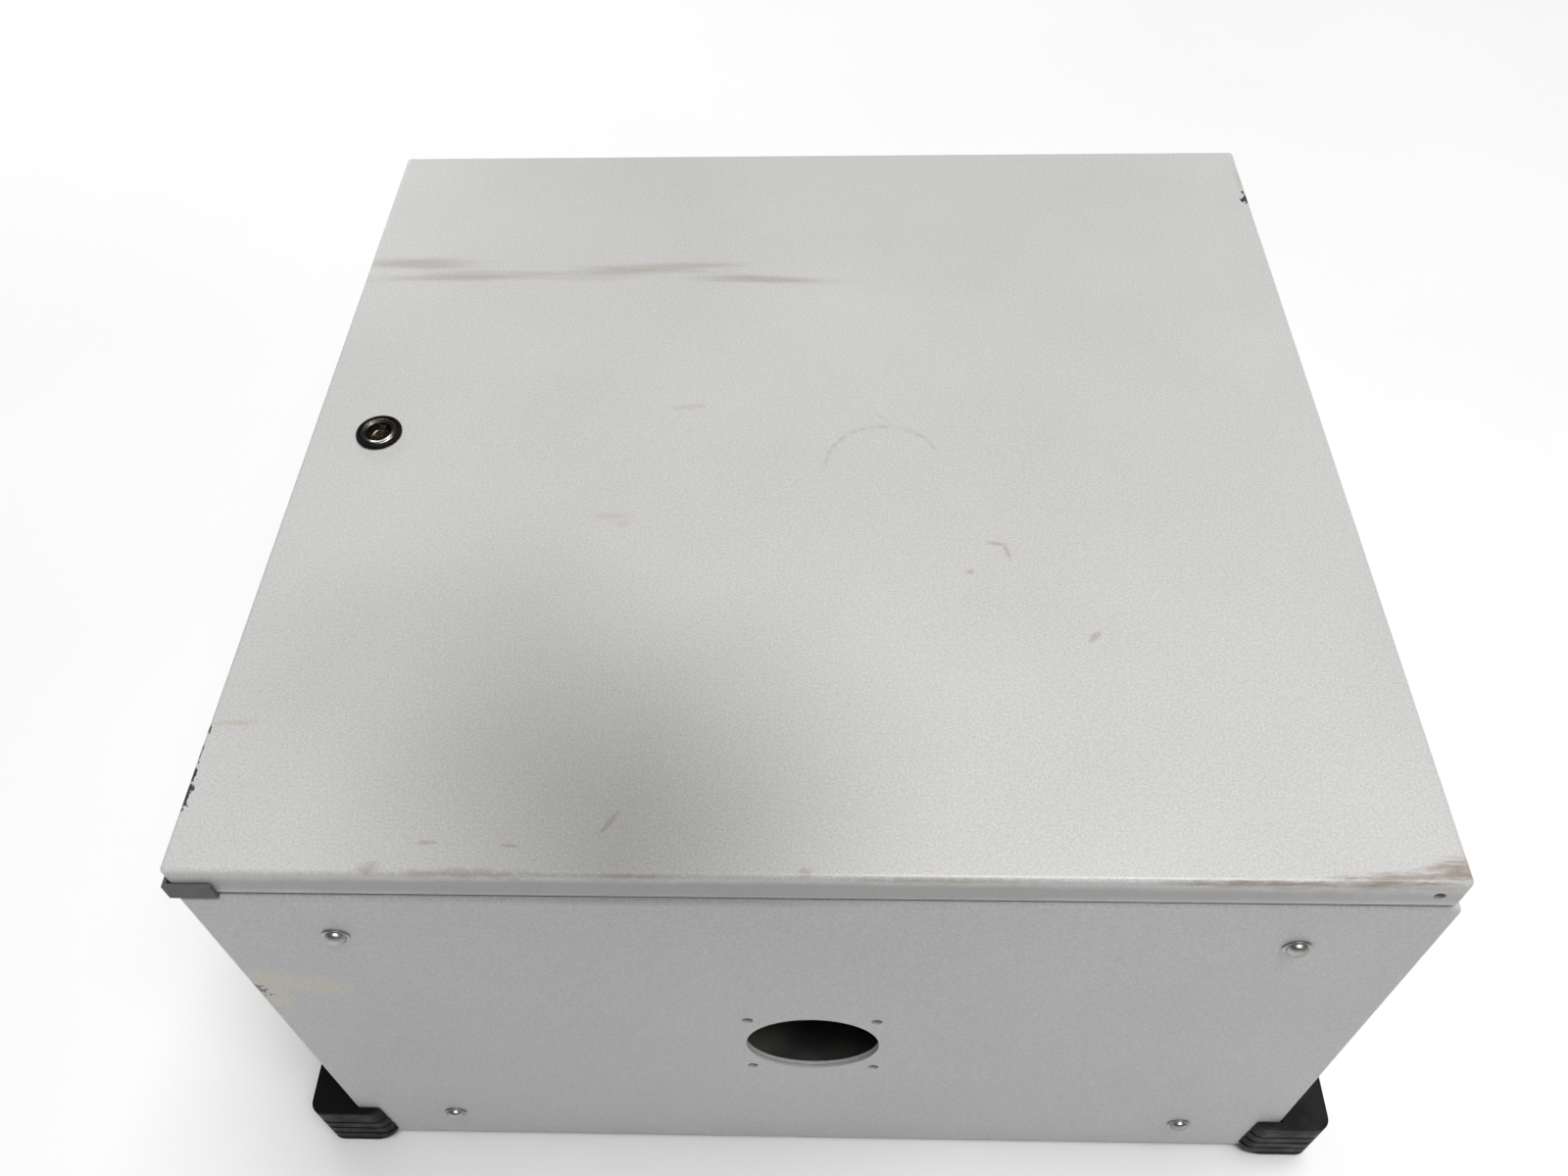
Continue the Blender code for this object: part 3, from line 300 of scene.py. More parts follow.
def outsideMask(tree, coords, node):
    # 1 on the outer side of a folded sheet, 0 on its inner side, so that wear stays outside
    low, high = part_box(node)
    middle = ((low.x + high.x) / 2, (low.y + high.y) / 2, 0.0)
    half = ((high.x - low.x) / 2, (high.y - low.y) / 2, high.z)
    shifted = addNode(tree, "ShaderNodeVectorMath", {0: coords, 1: middle}, operation="SUBTRACT").outputs[0]
    mirrored = addNode(tree, "ShaderNodeVectorMath", {0: shifted}, operation="ABSOLUTE").outputs[0]
    past = addNode(tree, "ShaderNodeVectorMath", {0: mirrored, 1: half}, operation="SUBTRACT").outputs[0]
    axes = addNode(tree, "ShaderNodeSeparateXYZ", {0: past}).outputs
    sides = addNode(tree, "ShaderNodeMath", {0: axes[0], 1: axes[1]}, operation="MAXIMUM").outputs[0]
    nearest = addNode(tree, "ShaderNodeMath", {0: sides, 1: axes[2]}, operation="MAXIMUM").outputs[0]
    return spread(tree, nearest, -1.35 * mm, -0.9 * mm)


def powderCoat(name, light, dark, stainsAndShade, scratches=(), sheet=None):
    # Polyester powder, cured light grey: satin, with a fine orange peel and a faint fleck
    material, tree, shader, coords = newMaterial(name, IOR=1.5)
    patch = noiseOf(tree, coords, coatSizes["patchPerMetre"], 3.0)
    fleck = noiseOf(tree, coords, coatSizes["finePerMetre"], 1.0)
    grain = noiseOf(tree, coords, coatSizes["grainPerMetre"], 2.0, 0.55)
    tone = addNode(tree, "ShaderNodeMath", {0: patch, 1: 0.4, 2: -0.15}, operation="MULTIPLY_ADD").outputs[0]
    speck = addNode(tree, "ShaderNodeMath", {0: fleck, 1: 0.9, 2: tone}, operation="MULTIPLY_ADD").outputs[0]
    colour = mixColours(tree, speck, hexColour(light), hexColour(dark))
    clean = colour
    # real stains and the painted shade band, each mixed over the clean coat
    for stainOrShade in stainsAndShade:
        colour = mixColours(tree, stainAndShadeMask(tree, coords, stainOrShade), colour, hexColour(stainOrShade["colour"]))
    for scratch in scratches:
        colour = mixColours(tree, ringMask(tree, coords, scratch), colour, hexColour(scratch["colour"]))
    if sheet:
        colour = mixColours(tree, outsideMask(tree, coords, sheet), clean, colour)
    roughness = spread(tree, grain, 0.3, 0.7, 0.34, 0.44)
    bump = addNode(tree, "ShaderNodeBump", {"Strength": 0.55, "Distance": coatSizes["bump"], "Height": grain})
    for socket, value in (("Base Color", colour), ("Roughness", roughness), ("Normal", bump.outputs[0])):
        tree.links.new(value, shader.inputs[socket])
    return material


def ringMask(tree, coords, scratch):
    # a rubbed arc: near the ring, on one side of a line, broken up
    local = addNode(tree, "ShaderNodeMapping", {
        "Vector": coords, "Location": (scratch["x"] * mm, scratch["y"] * mm, scratch["z"] * mm),
        "Rotation": (0, 0, math.radians(scratch["turn"])),
        "Scale": (scratch["radius"] * mm,) * 3}, vector_type="TEXTURE").outputs[0]
    away = addNode(tree, "ShaderNodeVectorMath", {0: local}, operation="LENGTH").outputs["Value"]
    offRing = addNode(tree, "ShaderNodeMath", {0: away, 1: 1.0}, operation="SUBTRACT").outputs[0]
    distance = addNode(tree, "ShaderNodeMath", {0: offRing}, operation="ABSOLUTE").outputs[0]
    line = spread(tree, distance, scratch["width"], 0.0)
    side = addNode(tree, "ShaderNodeSeparateXYZ", {0: local}).outputs[1]
    shown = spread(tree, side, 0.0, 0.5)
    broken = spread(tree, noiseOf(tree, coords, 260.0, 3.0), 0.35, 0.6, 0.25, 1.0)
    part = addNode(tree, "ShaderNodeMath", {0: line, 1: shown}, operation="MULTIPLY").outputs[0]
    worn = addNode(tree, "ShaderNodeMath", {0: part, 1: broken}, operation="MULTIPLY").outputs[0]
    return addNode(tree, "ShaderNodeMath", {0: worn, 1: scratch["amount"]}, operation="MULTIPLY").outputs[0]


# Where the door is dirty, and where shade is painted on it: x, y, z, half sizes in mm, turn about Y and Z
doorFace = 386
doorStainsAndShade = [
    {   # long brown streaks from the lock-side edge
        "colour": "#7c6c55", "amount": 0.36, "perMetre": 60.0, "stretch": (0.22, 3.0, 1), "breakUp": 1.3,
        "edge": 0.12, "softness": 0.85,
        "patches": [(-272, 162, doorFace, 70, 10, 12, 0, -2), (-225, 147, doorFace, 110, 9, 12, 0, 1),
                    (-118, 153, doorFace, 92, 12, 12, 0, 5), (-35, 143, doorFace, 78, 8, 12, 0, -4)],
    },
    {   # grime along the front bend
        "colour": "#8d7f6b", "amount": 0.42, "perMetre": 330.0, "stretch": (0.6, 1.3, 1), "breakUp": 1.3,
        "edge": 0.3, "softness": 0.6,
        "patches": [(-202, -283, doorFace, 12, 6, 9, 0, 0), (-158, -285, doorFace, 66, 4, 9, 0, 0),
                    (-2, -283, doorFace, 6, 6, 9, 0, 0), (-84, -286, doorFace, 42, 3, 9, 0, 0),
                    (215, 285, doorFace, 30, 3, 9, 0, 0), (60, -286, doorFace, 90, 2.5, 9, 0, 0)],
    },
    {   # rust-brown rub at the hinge-side front corner
        "colour": "#6f573d", "amount": 0.68, "perMetre": 330.0, "stretch": (0.22, 1.3, 1), "breakUp": 1.4,
        "edge": 0.22, "softness": 0.8,
        "patches": [(290, -279, doorFace, 26, 11, 14, 0, 10), (262, -284, doorFace, 54, 6, 12, 0, 3),
                    (205, -286, doorFace, 76, 3, 9, 0, 0)],
    },
    {   # painted shade: a neutral grey band darkening the door's front return, under the fold
        "colour": "#6f6f71", "amount": 0.5, "perMetre": 50.0, "breakUp": 0.4, "edge": 0.05, "softness": 0.5,
        "patches": [(-40, -288, doorFace - 13, 520, 9, 11, 0, 0)],
    },
    {   # small marks over the face
        "colour": "#9a8d7c", "amount": 0.5, "perMetre": 300.0, "breakUp": 1.0, "edge": 0.26, "softness": 0.5,
        "patches": [(100, -86, doorFace, 10, 2.6, 6, 0, -8), (105, -92, doorFace, 2.4, 9, 6, 0, 14),
                    (-178, -270, doorFace, 9, 2, 6, 0, 3), (-139, -271, doorFace, 8, 1.8, 6, 0, -4),
                    (84, -106, doorFace, 4, 3, 6, 0, 0), (145, -149, doorFace, 9, 3.6, 6, 0, 48),
                    (-94, -259, doorFace, 13, 2.6, 6, 0, 58)],
    },
    {   # faint smudges
        "colour": "#aa9f8a", "amount": 0.34, "perMetre": 160.0, "breakUp": 1.0, "edge": 0.16, "softness": 0.7,
        "patches": [(-113, -66, doorFace, 17, 4, 6, 0, 2), (-75, 22, doorFace, 17, 4, 6, 0, 8),
                    (-106, -72, doorFace, 6, 5, 6, 0, 0), (39, 13, doorFace, 14, 1.6, 6, 0, -38),
                    (-288, -205, doorFace, 22, 3, 8, 0, 4), (295, 250, doorFace, 5, 22, 10, 0, 0)],
    },
    {   # chips down to the primer on both side edges
        "colour": "#33383d", "amount": 1.0, "perMetre": 260.0, "stretch": (1, 0.5, 1), "breakUp": 2.2,
        "edge": 0.5, "softness": 0.06,
        "patches": [(-300, -236, doorFace - 3, 6, 46, 14, 0, 0), (295, 229, doorFace, 4.5, 13, 9, 0, 0)],
    },
]
doorScratches = [{"x": 40, "y": -29, "z": doorFace, "radius": 34, "turn": 12, "width": 0.075,
                  "colour": "#a39f97", "amount": 0.5}]
wallStains = [
    {   # a yellow-white smear on the bottom wall, near the lock-side edge
        "colour": "#cbbfa4", "amount": 0.42, "perMetre": 60.0, "breakUp": 0.9, "edge": 0.12, "softness": 0.6,
        "patches": [(-277, -287.5, 262, 48, 12, 20, 14, 0), (-290, -287.5, 240, 14, 12, 26, 0, 0)],
    },
    {   # the scuff beside it
        "colour": "#55585c", "amount": 0.9, "perMetre": 260.0, "breakUp": 2.0, "edge": 0.55, "softness": 0.1,
        "patches": [(-297, -288, 252, 7, 9, 18, -18, 0)],
    },
    {   # floor dirt low on the walls
        "colour": "#9a9284", "amount": 0.16, "perMetre": 14.0, "breakUp": 1.2, "edge": 0.2, "softness": 0.7,
        "patches": [(0, -288, 0, 380, 40, 60, 0, 0), (0, 288, 0, 380, 40, 60, 0, 0)],
    },
]


def zincPlate():
    # Bright zinc plating, passivated: cool grey with cloudy blue-yellow patches and fine rolling lines
    material, tree, shader, coords = newMaterial("zincPlatedSteel", metallic=1.0)
    cloud = noiseOf(tree, coords, 38.0, 3.0)
    colour = mixColours(tree, spread(tree, cloud, 0.3, 0.7), hexColour("#b9bcc0"), hexColour("#c6c2b4"))
    lines = noiseOf(tree, coords, 900.0, 2.0, 0.5, (1, 0.04, 1))
    roughness = spread(tree, cloud, 0.25, 0.75, 0.28, 0.42)
    bump = addNode(tree, "ShaderNodeBump", {"Strength": 0.25, "Distance": 0.01 * mm, "Height": lines})
    for socket, value in (("Base Color", colour), ("Roughness", roughness), ("Normal", bump.outputs[0])):
        tree.links.new(value, shader.inputs[socket])
    return material


def plainNickel():
    # Nickel-plated screw heads, dulled: soft grey shine with cloudy wear
    material, tree, shader, coords = newMaterial("nickelPlatedSteel", metallic=1.0)
    cloud = noiseOf(tree, coords, 160.0, 3.0)
    colour = mixColours(tree, spread(tree, cloud, 0.3, 0.7), hexColour("#b4b4b2"), hexColour("#94938f"))
    roughness = spread(tree, cloud, 0.25, 0.75, 0.3, 0.46)
    bump = addNode(tree, "ShaderNodeBump", {"Strength": 0.2, "Distance": 0.01 * mm, "Height": cloud})
    for socket, value in (("Base Color", colour), ("Roughness", roughness), ("Normal", bump.outputs[0])):
        tree.links.new(value, shader.inputs[socket])
    return material


def brightChrome():
    # Nickel-chrome plating on turned brass: near mirror, hairline wear; its colour is painted dark and brown, a
    # painted reflection of a dim, warm room
    material, tree, shader, coords = newMaterial("chromePlated", metallic=1.0)
    smear = noiseOf(tree, coords, 180.0, 3.0)
    colour = mixColours(tree, spread(tree, smear, 0.35, 0.75), hexColour("#8b857d"), hexColour("#5d544a"))
    roughness = spread(tree, smear, 0.3, 0.7, 0.16, 0.28)
    hairline = noiseOf(tree, coords, 1600.0, 1.0, 0.5, (1, 0.08, 1))
    bump = addNode(tree, "ShaderNodeBump", {"Strength": 0.2, "Distance": 0.008 * mm, "Height": hairline})
    for socket, value in (("Base Color", colour), ("Roughness", roughness), ("Normal", bump.outputs[0])):
        tree.links.new(value, shader.inputs[socket])
    return material


def mouldedPlastic(name, body, dust, roughLow, roughHigh):
    # Glass-filled nylon, moulded: spark-eroded grain, pale dust in the low places
    material, tree, shader, coords = newMaterial(name, IOR=1.53, Specular_IOR_Level=0.12)
    grain = noiseOf(tree, coords, 1400.0, 2.0)
    smear = noiseOf(tree, coords, 70.0, 4.0, 0.6)
    share = spread(tree, smear, 0.5, 0.85, 0.0, 0.12)
    colour = mixColours(tree, share, hexColour(body), hexColour(dust))
    roughness = spread(tree, smear, 0.3, 0.7, roughLow, roughHigh)
    bump = addNode(tree, "ShaderNodeBump", {"Strength": 0.4, "Distance": 0.03 * mm, "Height": grain})
    for socket, value in (("Base Color", colour), ("Roughness", roughness), ("Normal", bump.outputs[0])):
        tree.links.new(value, shader.inputs[socket])
    return material


def foamSeal():
    # Polyurethane foamed in place: matt black skin with small open cells
    material, tree, shader, coords = newMaterial("foamedSeal", Roughness=0.9)
    cells = addNode(tree, "ShaderNodeTexVoronoi", {"Vector": coords, "Scale": 900.0}).outputs["Distance"]
    colour = mixColours(tree, cells, hexColour("#1b1b1c"), hexColour("#333335"))
    bump = addNode(tree, "ShaderNodeBump", {"Strength": 0.5, "Distance": 0.08 * mm, "Height": cells})
    tree.links.new(colour, shader.inputs["Base Color"])
    tree.links.new(bump.outputs[0], shader.inputs["Normal"])
    return material


print("Making the finishes")
doorCoat = powderCoat("powderCoatDoor", "#d6d5d3", "#a5a4a2", doorStainsAndShade, doorScratches, "door_panel")
# the body's coat is a cooler grey than the door's and painted darker: painted shade standing in for the lower
# light on the upright walls
bodyCoatShaded = powderCoat("powderCoatBody", "#cbcbcb", "#9c9c9e", wallStains, sheet="body_wrap")
plainCoat = powderCoat("powderCoatPlain", "#d0d0ce", "#a2a2a1", [])
zinc = zincPlate()
nickel = plainNickel()
chrome = brightChrome()
blackNylon = mouldedPlastic("mouldedBlackNylon", "#040506", "#15171a", 0.4, 0.6)
greyPlastic = mouldedPlastic("mouldedGreyPolyamide", "#5b5d5f", "#7a7b7a", 0.42, 0.6)
foam = foamSeal()
finishes = {"powder_coat": plainCoat, "zinc_plate": zinc, "chrome": chrome, "black_plastic": blackNylon,
            "grey_plastic": greyPlastic, "foam": foam}
for row in frame["record"]["subparts"]:
    for materialSlot in nodes[row["node"]].material_slots:
        materialSlot.material = finishes[row["material_slot"]]


def mount(piece, body, material=None, replaced=()):
    if material:
        piece.data.materials.clear()
        piece.data.materials.append(material)
    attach(piece, body)
    if replaced:
        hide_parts(*replaced)
    return piece


# Folded door

doorSizes = {"sheet": 2 * mm, "bend": 2.5 * mm, "corner": 3 * mm, "bendSteps": 10,
             "accessHole": 2.8 * mm, "accessFromEdge": 12.5 * mm, "accessDrop": 11.5 * mm,
             "notch": 68 * mm, "notchLand": 1 * mm, "notchFromEnd": 75 * mm, "lockHole": 10.3 * mm}
lockJoint = Vector(next(j["pos_m"] for j in frame["joints"] if j["name"] == "lock_turn"))
bodyLow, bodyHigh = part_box("body_wrap")
doorLow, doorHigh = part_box("door_panel")


def buildDoor(sizes):
    sheet, bend = sizes["sheet"], sizes["bend"]
    inner = bend - sheet
    skin = doorHigh.z - sheet
    section = [(sheet + inner, skin)] + arcPoints((bend, skin - inner), inner, 90, 180, 3)[1:]
    section += [(sheet, doorLow.z), (0, doorLow.z)]
    section += arcPoints((bend, doorHigh.z - bend), bend, 180, 90, sizes["bendSteps"])
    bm = bmesh.new()
    addLoft(bm, [(insetOutline(doorLow, doorHigh, inset, sizes["corner"]), z) for inset, z in section])
    door = newPiece("doorPanel", bm)
    holes = bmesh.new()
    addLoft(holes, lathe([(sizes["lockHole"], skin - sheet), (sizes["lockHole"], doorHigh.z + sheet)], 48))
    combine(door, holes, place=Matrix.Translation((lockJoint.x, lockJoint.y, 0)))
    holes = bmesh.new()
    addLoft(holes, lathe([(sizes["accessHole"], -2 * sheet), (sizes["accessHole"], sheet)], 32))
    combine(door, holes, place=facing(doorHigh.x - sizes["accessFromEdge"],
                                      doorHigh.z - sizes["accessDrop"], doorLow.y))
    for side in (-1, 1):
        middle = side * (bodyHigh.y - sizes["notchFromEnd"])
        notch = bmesh.new()
        addBlock(notch, (doorHigh.x - 2 * sheet, middle - sizes["notch"] / 2, doorLow.z - sheet),
                 (doorHigh.x + sheet, middle + sizes["notch"] / 2, skin - sizes["notchLand"]))
        combine(door, notch)
    return smoothShade(door)


print("Folding the door")
mount(buildDoor(doorSizes), "door", doorCoat, ["door_panel"])

# Welded body

bodySizes = {"sheet": 1.5 * mm, "corner": 3 * mm, "backBend": 2 * mm, "backFlange": 14 * mm,
             "rim": 22 * mm, "rimLevel": 362.5 * mm, "rimBend": 4 * mm, "lipBend": 1.5 * mm, "bendSteps": 8,
             "cutOut": 38 * mm, "cutOutSquare": 71.5 * mm, "cutOutScrew": 3.2 * mm, "cutOutLevel": 180 * mm,
             "domeHole": 3.3 * mm, "hingeHole": 2.8 * mm}


def domePlaces():
    places = []
    for node in ("dome_screw_back_lock", "dome_screw_back_hinge", "dome_screw_front_lock",
                 "dome_screw_front_hinge"):
        low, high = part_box(node)
        places.append(((low.x + high.x) / 2, (low.z + high.z) / 2))
    return places


def buildBody(sizes):
    sheet, back, rim = sizes["sheet"], sizes["backBend"], sizes["rimLevel"]
    floor, top, lip, steps = bodyLow.z, bodyHigh.z, sizes["lipBend"], sizes["bendSteps"]
    section = [(sizes["backFlange"], floor)]
    section += arcPoints((back, floor + back), back, 270, 180, 4)
    section += arcPoints((sizes["rimBend"], rim - sizes["rimBend"]), sizes["rimBend"], 180, 90, steps)
    section += arcPoints((sizes["rim"] - lip, rim + lip), lip, 270, 360, 5)
    section += [(sizes["rim"], top), (sizes["rim"] + sheet, top)]
    section += arcPoints((sizes["rim"] - lip, rim + lip), lip + sheet, 360, 270, 6)
    section += arcPoints((sizes["rimBend"], rim - sizes["rimBend"]), sizes["rimBend"] - sheet, 90, 180, steps)
    section += arcPoints((back, floor + back), back - sheet, 180, 270, 2)
    section += [(sizes["backFlange"], floor + sheet)]
    bm = bmesh.new()
    levels = [(insetOutline(bodyLow, bodyHigh, inset, sizes["corner"]), z) for inset, z in section]
    addLoft(bm, levels, closed=True)
    body = newPiece("bodyShell", bm)
    wall = bodyLow.y
    level, half = sizes["cutOutLevel"], sizes["cutOutSquare"] / 2
    through = [(sizes["cutOut"], 0, level, 72)]
    through += [(sizes["cutOutScrew"], x, level + z, 24)
                for x, z in ((-half, -half), (half, -half), (-half, half), (half, half))]
    through += [(sizes["domeHole"], x, z, 24) for x, z in domePlaces()]
    holes = bmesh.new()
    for radius, x, z, steps in through:
        rod = bmesh.new()
        addLoft(rod, lathe([(radius, -2 * sheet), (radius, 2 * sheet)], steps))
        bmesh.ops.transform(rod, matrix=facing(x, z, wall), verts=rod.verts[:])
        joinInto(holes, rod)
    combine(body, holes)
    holes = bmesh.new()
    for name in ("hinge_screw_lower_a", "hinge_screw_lower_b", "hinge_screw_upper_a", "hinge_screw_upper_b"):
        low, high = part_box(name)
        rod = bmesh.new()
        addLoft(rod, lathe([(sizes["hingeHole"], rim - 3 * sheet), (sizes["hingeHole"], rim + sheet)], 16))
        middle = ((low.x + high.x) / 2, (low.y + high.y) / 2, 0)
        bmesh.ops.transform(rod, matrix=Matrix.Translation(middle), verts=rod.verts[:])
        joinInto(holes, rod)
    combine(body, holes)
    return smoothShade(body)


def joinInto(bm, other):
    mesh = bpy.data.meshes.new("part")
    other.to_mesh(mesh)
    other.free()
    bm.from_mesh(mesh)
    bpy.data.meshes.remove(mesh)


print("Welding the body")
mount(buildBody(bodySizes), "enclosure", bodyCoatShaded, ["body_wrap"])

# Moulded corner feet

footSizes = {"corner": 9 * mm, "tailRound": 15 * mm, "ribs": 4, "firstRib": 4 * mm, "ribPitch": 10.5 * mm,
             "groove": 2.6 * mm, "grooveDepth": 1.3 * mm, "grooveSlope": 0.3 * mm, "edge": 1.4 * mm,
             "tailLean": 3 * mm, "screwHead": 4.5 * mm, "screwRecess": 3 * mm, "screwHole": 2.8 * mm}


def buildFoot(name, node, sizes):
    low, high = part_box(node)
    sideX = -1 if low.x < 0 else 1
    sideY = -1 if low.y < 0 else 1
    outX, outY = max(abs(low.x), abs(high.x)), max(abs(low.y), abs(high.y))
    inX, inY = min(abs(low.x), abs(high.x)), min(abs(low.y), abs(high.y))
    top, tail = high.z, sizes["tailRound"]

    def ring(z, inset):
        sag = tail - math.sqrt(max(tail ** 2 - max(tail - z, 0) ** 2, 0))
        start = inX + sizes["tailLean"] * z / top + sag
        points = roundedOutline((start + inset, inY + inset), (outX - inset, outY - inset),
                                sizes["corner"] - inset / 2, 8)
        return [(sideX * x, sideY * y) for x, y in points], z

    edge = sizes["edge"]
    levels = [ring(0, edge), ring(edge * 0.3, edge * 0.3), ring(edge, 0)]
    for rib in range(sizes["ribs"]):
        z = sizes["firstRib"] + rib * sizes["ribPitch"]
        depth, width, slope = sizes["grooveDepth"], sizes["groove"], sizes["grooveSlope"]
        levels += [ring(z, 0), ring(z + slope, depth), ring(z + width - slope, depth), ring(z + width, 0)]
        middle = z + (sizes["ribPitch"] + width) / 2
        if middle < top - edge:
            levels.append(ring(middle, 0))
    levels += [ring(top - edge, 0), ring(top - edge * 0.3, edge * 0.3), ring(top, edge)]
    bm = bmesh.new()
    addLoft(bm, levels)
    foot = newPiece(name, bm)
    pocket = bmesh.new()
    reachX, reachY = bodyHigh.x + gap, bodyHigh.y + gap
    addBlock(pocket, (-reachX, -reachY, bodyLow.z - gap), (reachX, reachY, 2 * top))
    combine(foot, pocket)
    screwLow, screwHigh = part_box(node.replace("foot", "foot_screw"))
    middle = ((screwLow.x + screwHigh.x) / 2, (screwLow.y + screwHigh.y) / 2, 0)
    hole = bmesh.new()
    addLoft(hole, lathe([(sizes["screwHead"], -gap), (sizes["screwHead"], sizes["screwRecess"]),
                         (sizes["screwHole"], sizes["screwRecess"]),
                         (sizes["screwHole"], 2 * bodyLow.z)], 32))
    combine(foot, hole, place=Matrix.Translation(middle))
    return smoothShade(foot, 28)


print("Moulding the feet")
for corner in ("bottom_lock", "bottom_hinge", "top_lock", "top_hinge"):
    words = corner.split("_")
    footName = "foot" + words[0].capitalize() + words[1].capitalize()
    mount(buildFoot(footName, "foot_" + corner, footSizes), "enclosure", blackNylon,
          ["foot_" + corner])

# Fasteners that repeat: a prototype on the four corners of a rectangle

fastenerTree, fastenerInputs = newTree("fastenersOnCorners", [
    ("Prototype", "NodeSocketObject"), ("Width", "NodeSocketFloat"), ("Depth", "NodeSocketFloat"),
    ("Material", "NodeSocketMaterial")])
grid = addNode(fastenerTree, "GeometryNodeMeshGrid", {"Size X": fastenerInputs["Width"],
                                                      "Size Y": fastenerInputs["Depth"],
                                                      "Vertices X": 2, "Vertices Y": 2})
shape = addNode(fastenerTree, "GeometryNodeObjectInfo", {"Object": fastenerInputs["Prototype"]})
placed = addNode(fastenerTree, "GeometryNodeInstanceOnPoints",
                 {"Points": grid.outputs["Mesh"], "Instance": shape.outputs["Geometry"]})
endTree(fastenerTree, placed.outputs[0], fastenerInputs["Material"])


def setFasteners(name, bm, width, depth, material, place, angle=35):
    prototype = newPiece(name + ".prototype", bm)
    smoothShade(prototype, angle)
    values = {"Prototype": prototype, "Width": width, "Depth": depth, "Material": material}
    piece = growTree(name, fastenerTree, values, place=place)
    bpy.data.objects.remove(prototype)
    return piece


def nodeMiddle(node):
    low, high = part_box(node)
    return (low + high) / 2


domeSizes = {"washer": 7 * mm, "washerSheet": 1 * mm, "head": 5.4 * mm, "headHeight": 3.6 * mm,
             "shank": 3 * mm, "nutFlats": 10 * mm, "nutHole": 3.3 * mm, "steps": 40}


def domeScrew(sizes, depth):
    washer, sheet = sizes["washer"], sizes["washerSheet"]
    levels = [(sizes["shank"], -depth), (sizes["shank"], gap), (washer - 0.2 * mm, gap),
              (washer, gap + 0.2 * mm), (washer, gap + sheet - 0.25 * mm),
              (washer - 0.25 * mm, gap + sheet), (sizes["head"] + 0.1 * mm, gap + sheet),
              (sizes["head"], gap + sheet + 0.3 * mm)]
    for i in range(1, 9):
        angle = math.radians(90 * i / 8.5)
        levels.append((sizes["head"] * math.cos(angle),
                       gap + sheet + 0.3 * mm + (sizes["headHeight"] - 0.3 * mm) * math.sin(angle)))
    bm = bmesh.new()
    addLoft(bm, lathe(levels, sizes["steps"]))
    return bm


def hexNut(flats, height, hole, flange=0.0, flangeSheet=0.0, steps=36):
    # a chamfered hexagon, on its own washer where it has one
    cutRadius = flats / 2 * 1.02
    chamfer = flats * 0.06
    levels = [(circlePoints(hole, steps), height + flangeSheet), (circlePoints(hole, steps), 0)]
    if flange:
        levels += [(circlePoints(flange, steps), 0), (circlePoints(flange, steps), flangeSheet * 0.6),
                   (circlePoints(flange - 0.5 * mm, steps), flangeSheet),
                   (polygonPoints(flats / 2, 6, steps), flangeSheet)]
    else:
        levels += [(polygonPoints(flats / 2, 6, steps, cutRadius), 0),
                   (polygonPoints(flats / 2, 6, steps), chamfer)]
    levels += [(polygonPoints(flats / 2, 6, steps), height + flangeSheet - chamfer),
               (polygonPoints(flats / 2, 6, steps, cutRadius), height + flangeSheet)]
    bm = bmesh.new()
    addLoft(bm, levels, closed=True)
    return bm


def threadedStud(radius, pitch, length, shoulder=0.0, shoulderLength=0.0, steps=24):
    # a shoulder, then rolled thread crests a pitch apart
    root = radius - 0.55 * pitch
    levels = [(shoulder or root, 0.0)]
    if shoulder:
        levels += [(shoulder, shoulderLength - 0.4 * mm), (shoulder - 0.4 * mm, shoulderLength),
                   (root, shoulderLength)]
    z = shoulderLength
    while z + pitch < length:
        levels += [(root, z + pitch * 0.12), (radius, z + pitch * 0.45), (radius, z + pitch * 0.55),
                   (root, z + pitch * 0.88)]
        z += pitch
    levels += [(root, length - 0.4 * mm), (root - 0.4 * mm, length)]
    bm = bmesh.new()
    addLoft(bm, lathe(levels, steps))
    return bm


print("Setting the fasteners")
cornerNames = ("bottom_lock", "bottom_hinge", "top_lock", "top_hinge")
domeNames = ("back_lock", "back_hinge", "front_lock", "front_hinge")
firstDome, lastDome = domePlaces()[0], domePlaces()[3]
domeMiddle = facing((firstDome[0] + lastDome[0]) / 2, (firstDome[1] + lastDome[1]) / 2, bodyLow.y)
domeWidth, domeDepth = lastDome[0] - firstDome[0], lastDome[1] - firstDome[1]
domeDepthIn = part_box("dome_screw_back_lock")[1].y - bodyLow.y
mount(setFasteners("domeScrews", domeScrew(domeSizes, domeDepthIn), domeWidth, domeDepth, nickel, domeMiddle),
      "enclosure", None, ["dome_screw_" + name for name in domeNames])
nutLow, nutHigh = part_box("dome_nut_back_lock")
nutPlace = facing((firstDome[0] + lastDome[0]) / 2, (firstDome[1] + lastDome[1]) / 2, nutHigh.y)
domeNut = hexNut(domeSizes["nutFlats"], nutHigh.y - nutLow.y, domeSizes["nutHole"])
mount(setFasteners("domeNuts", domeNut, domeWidth, domeDepth, zinc, nutPlace, 25),
      "enclosure", None, ["dome_nut_" + name for name in domeNames])

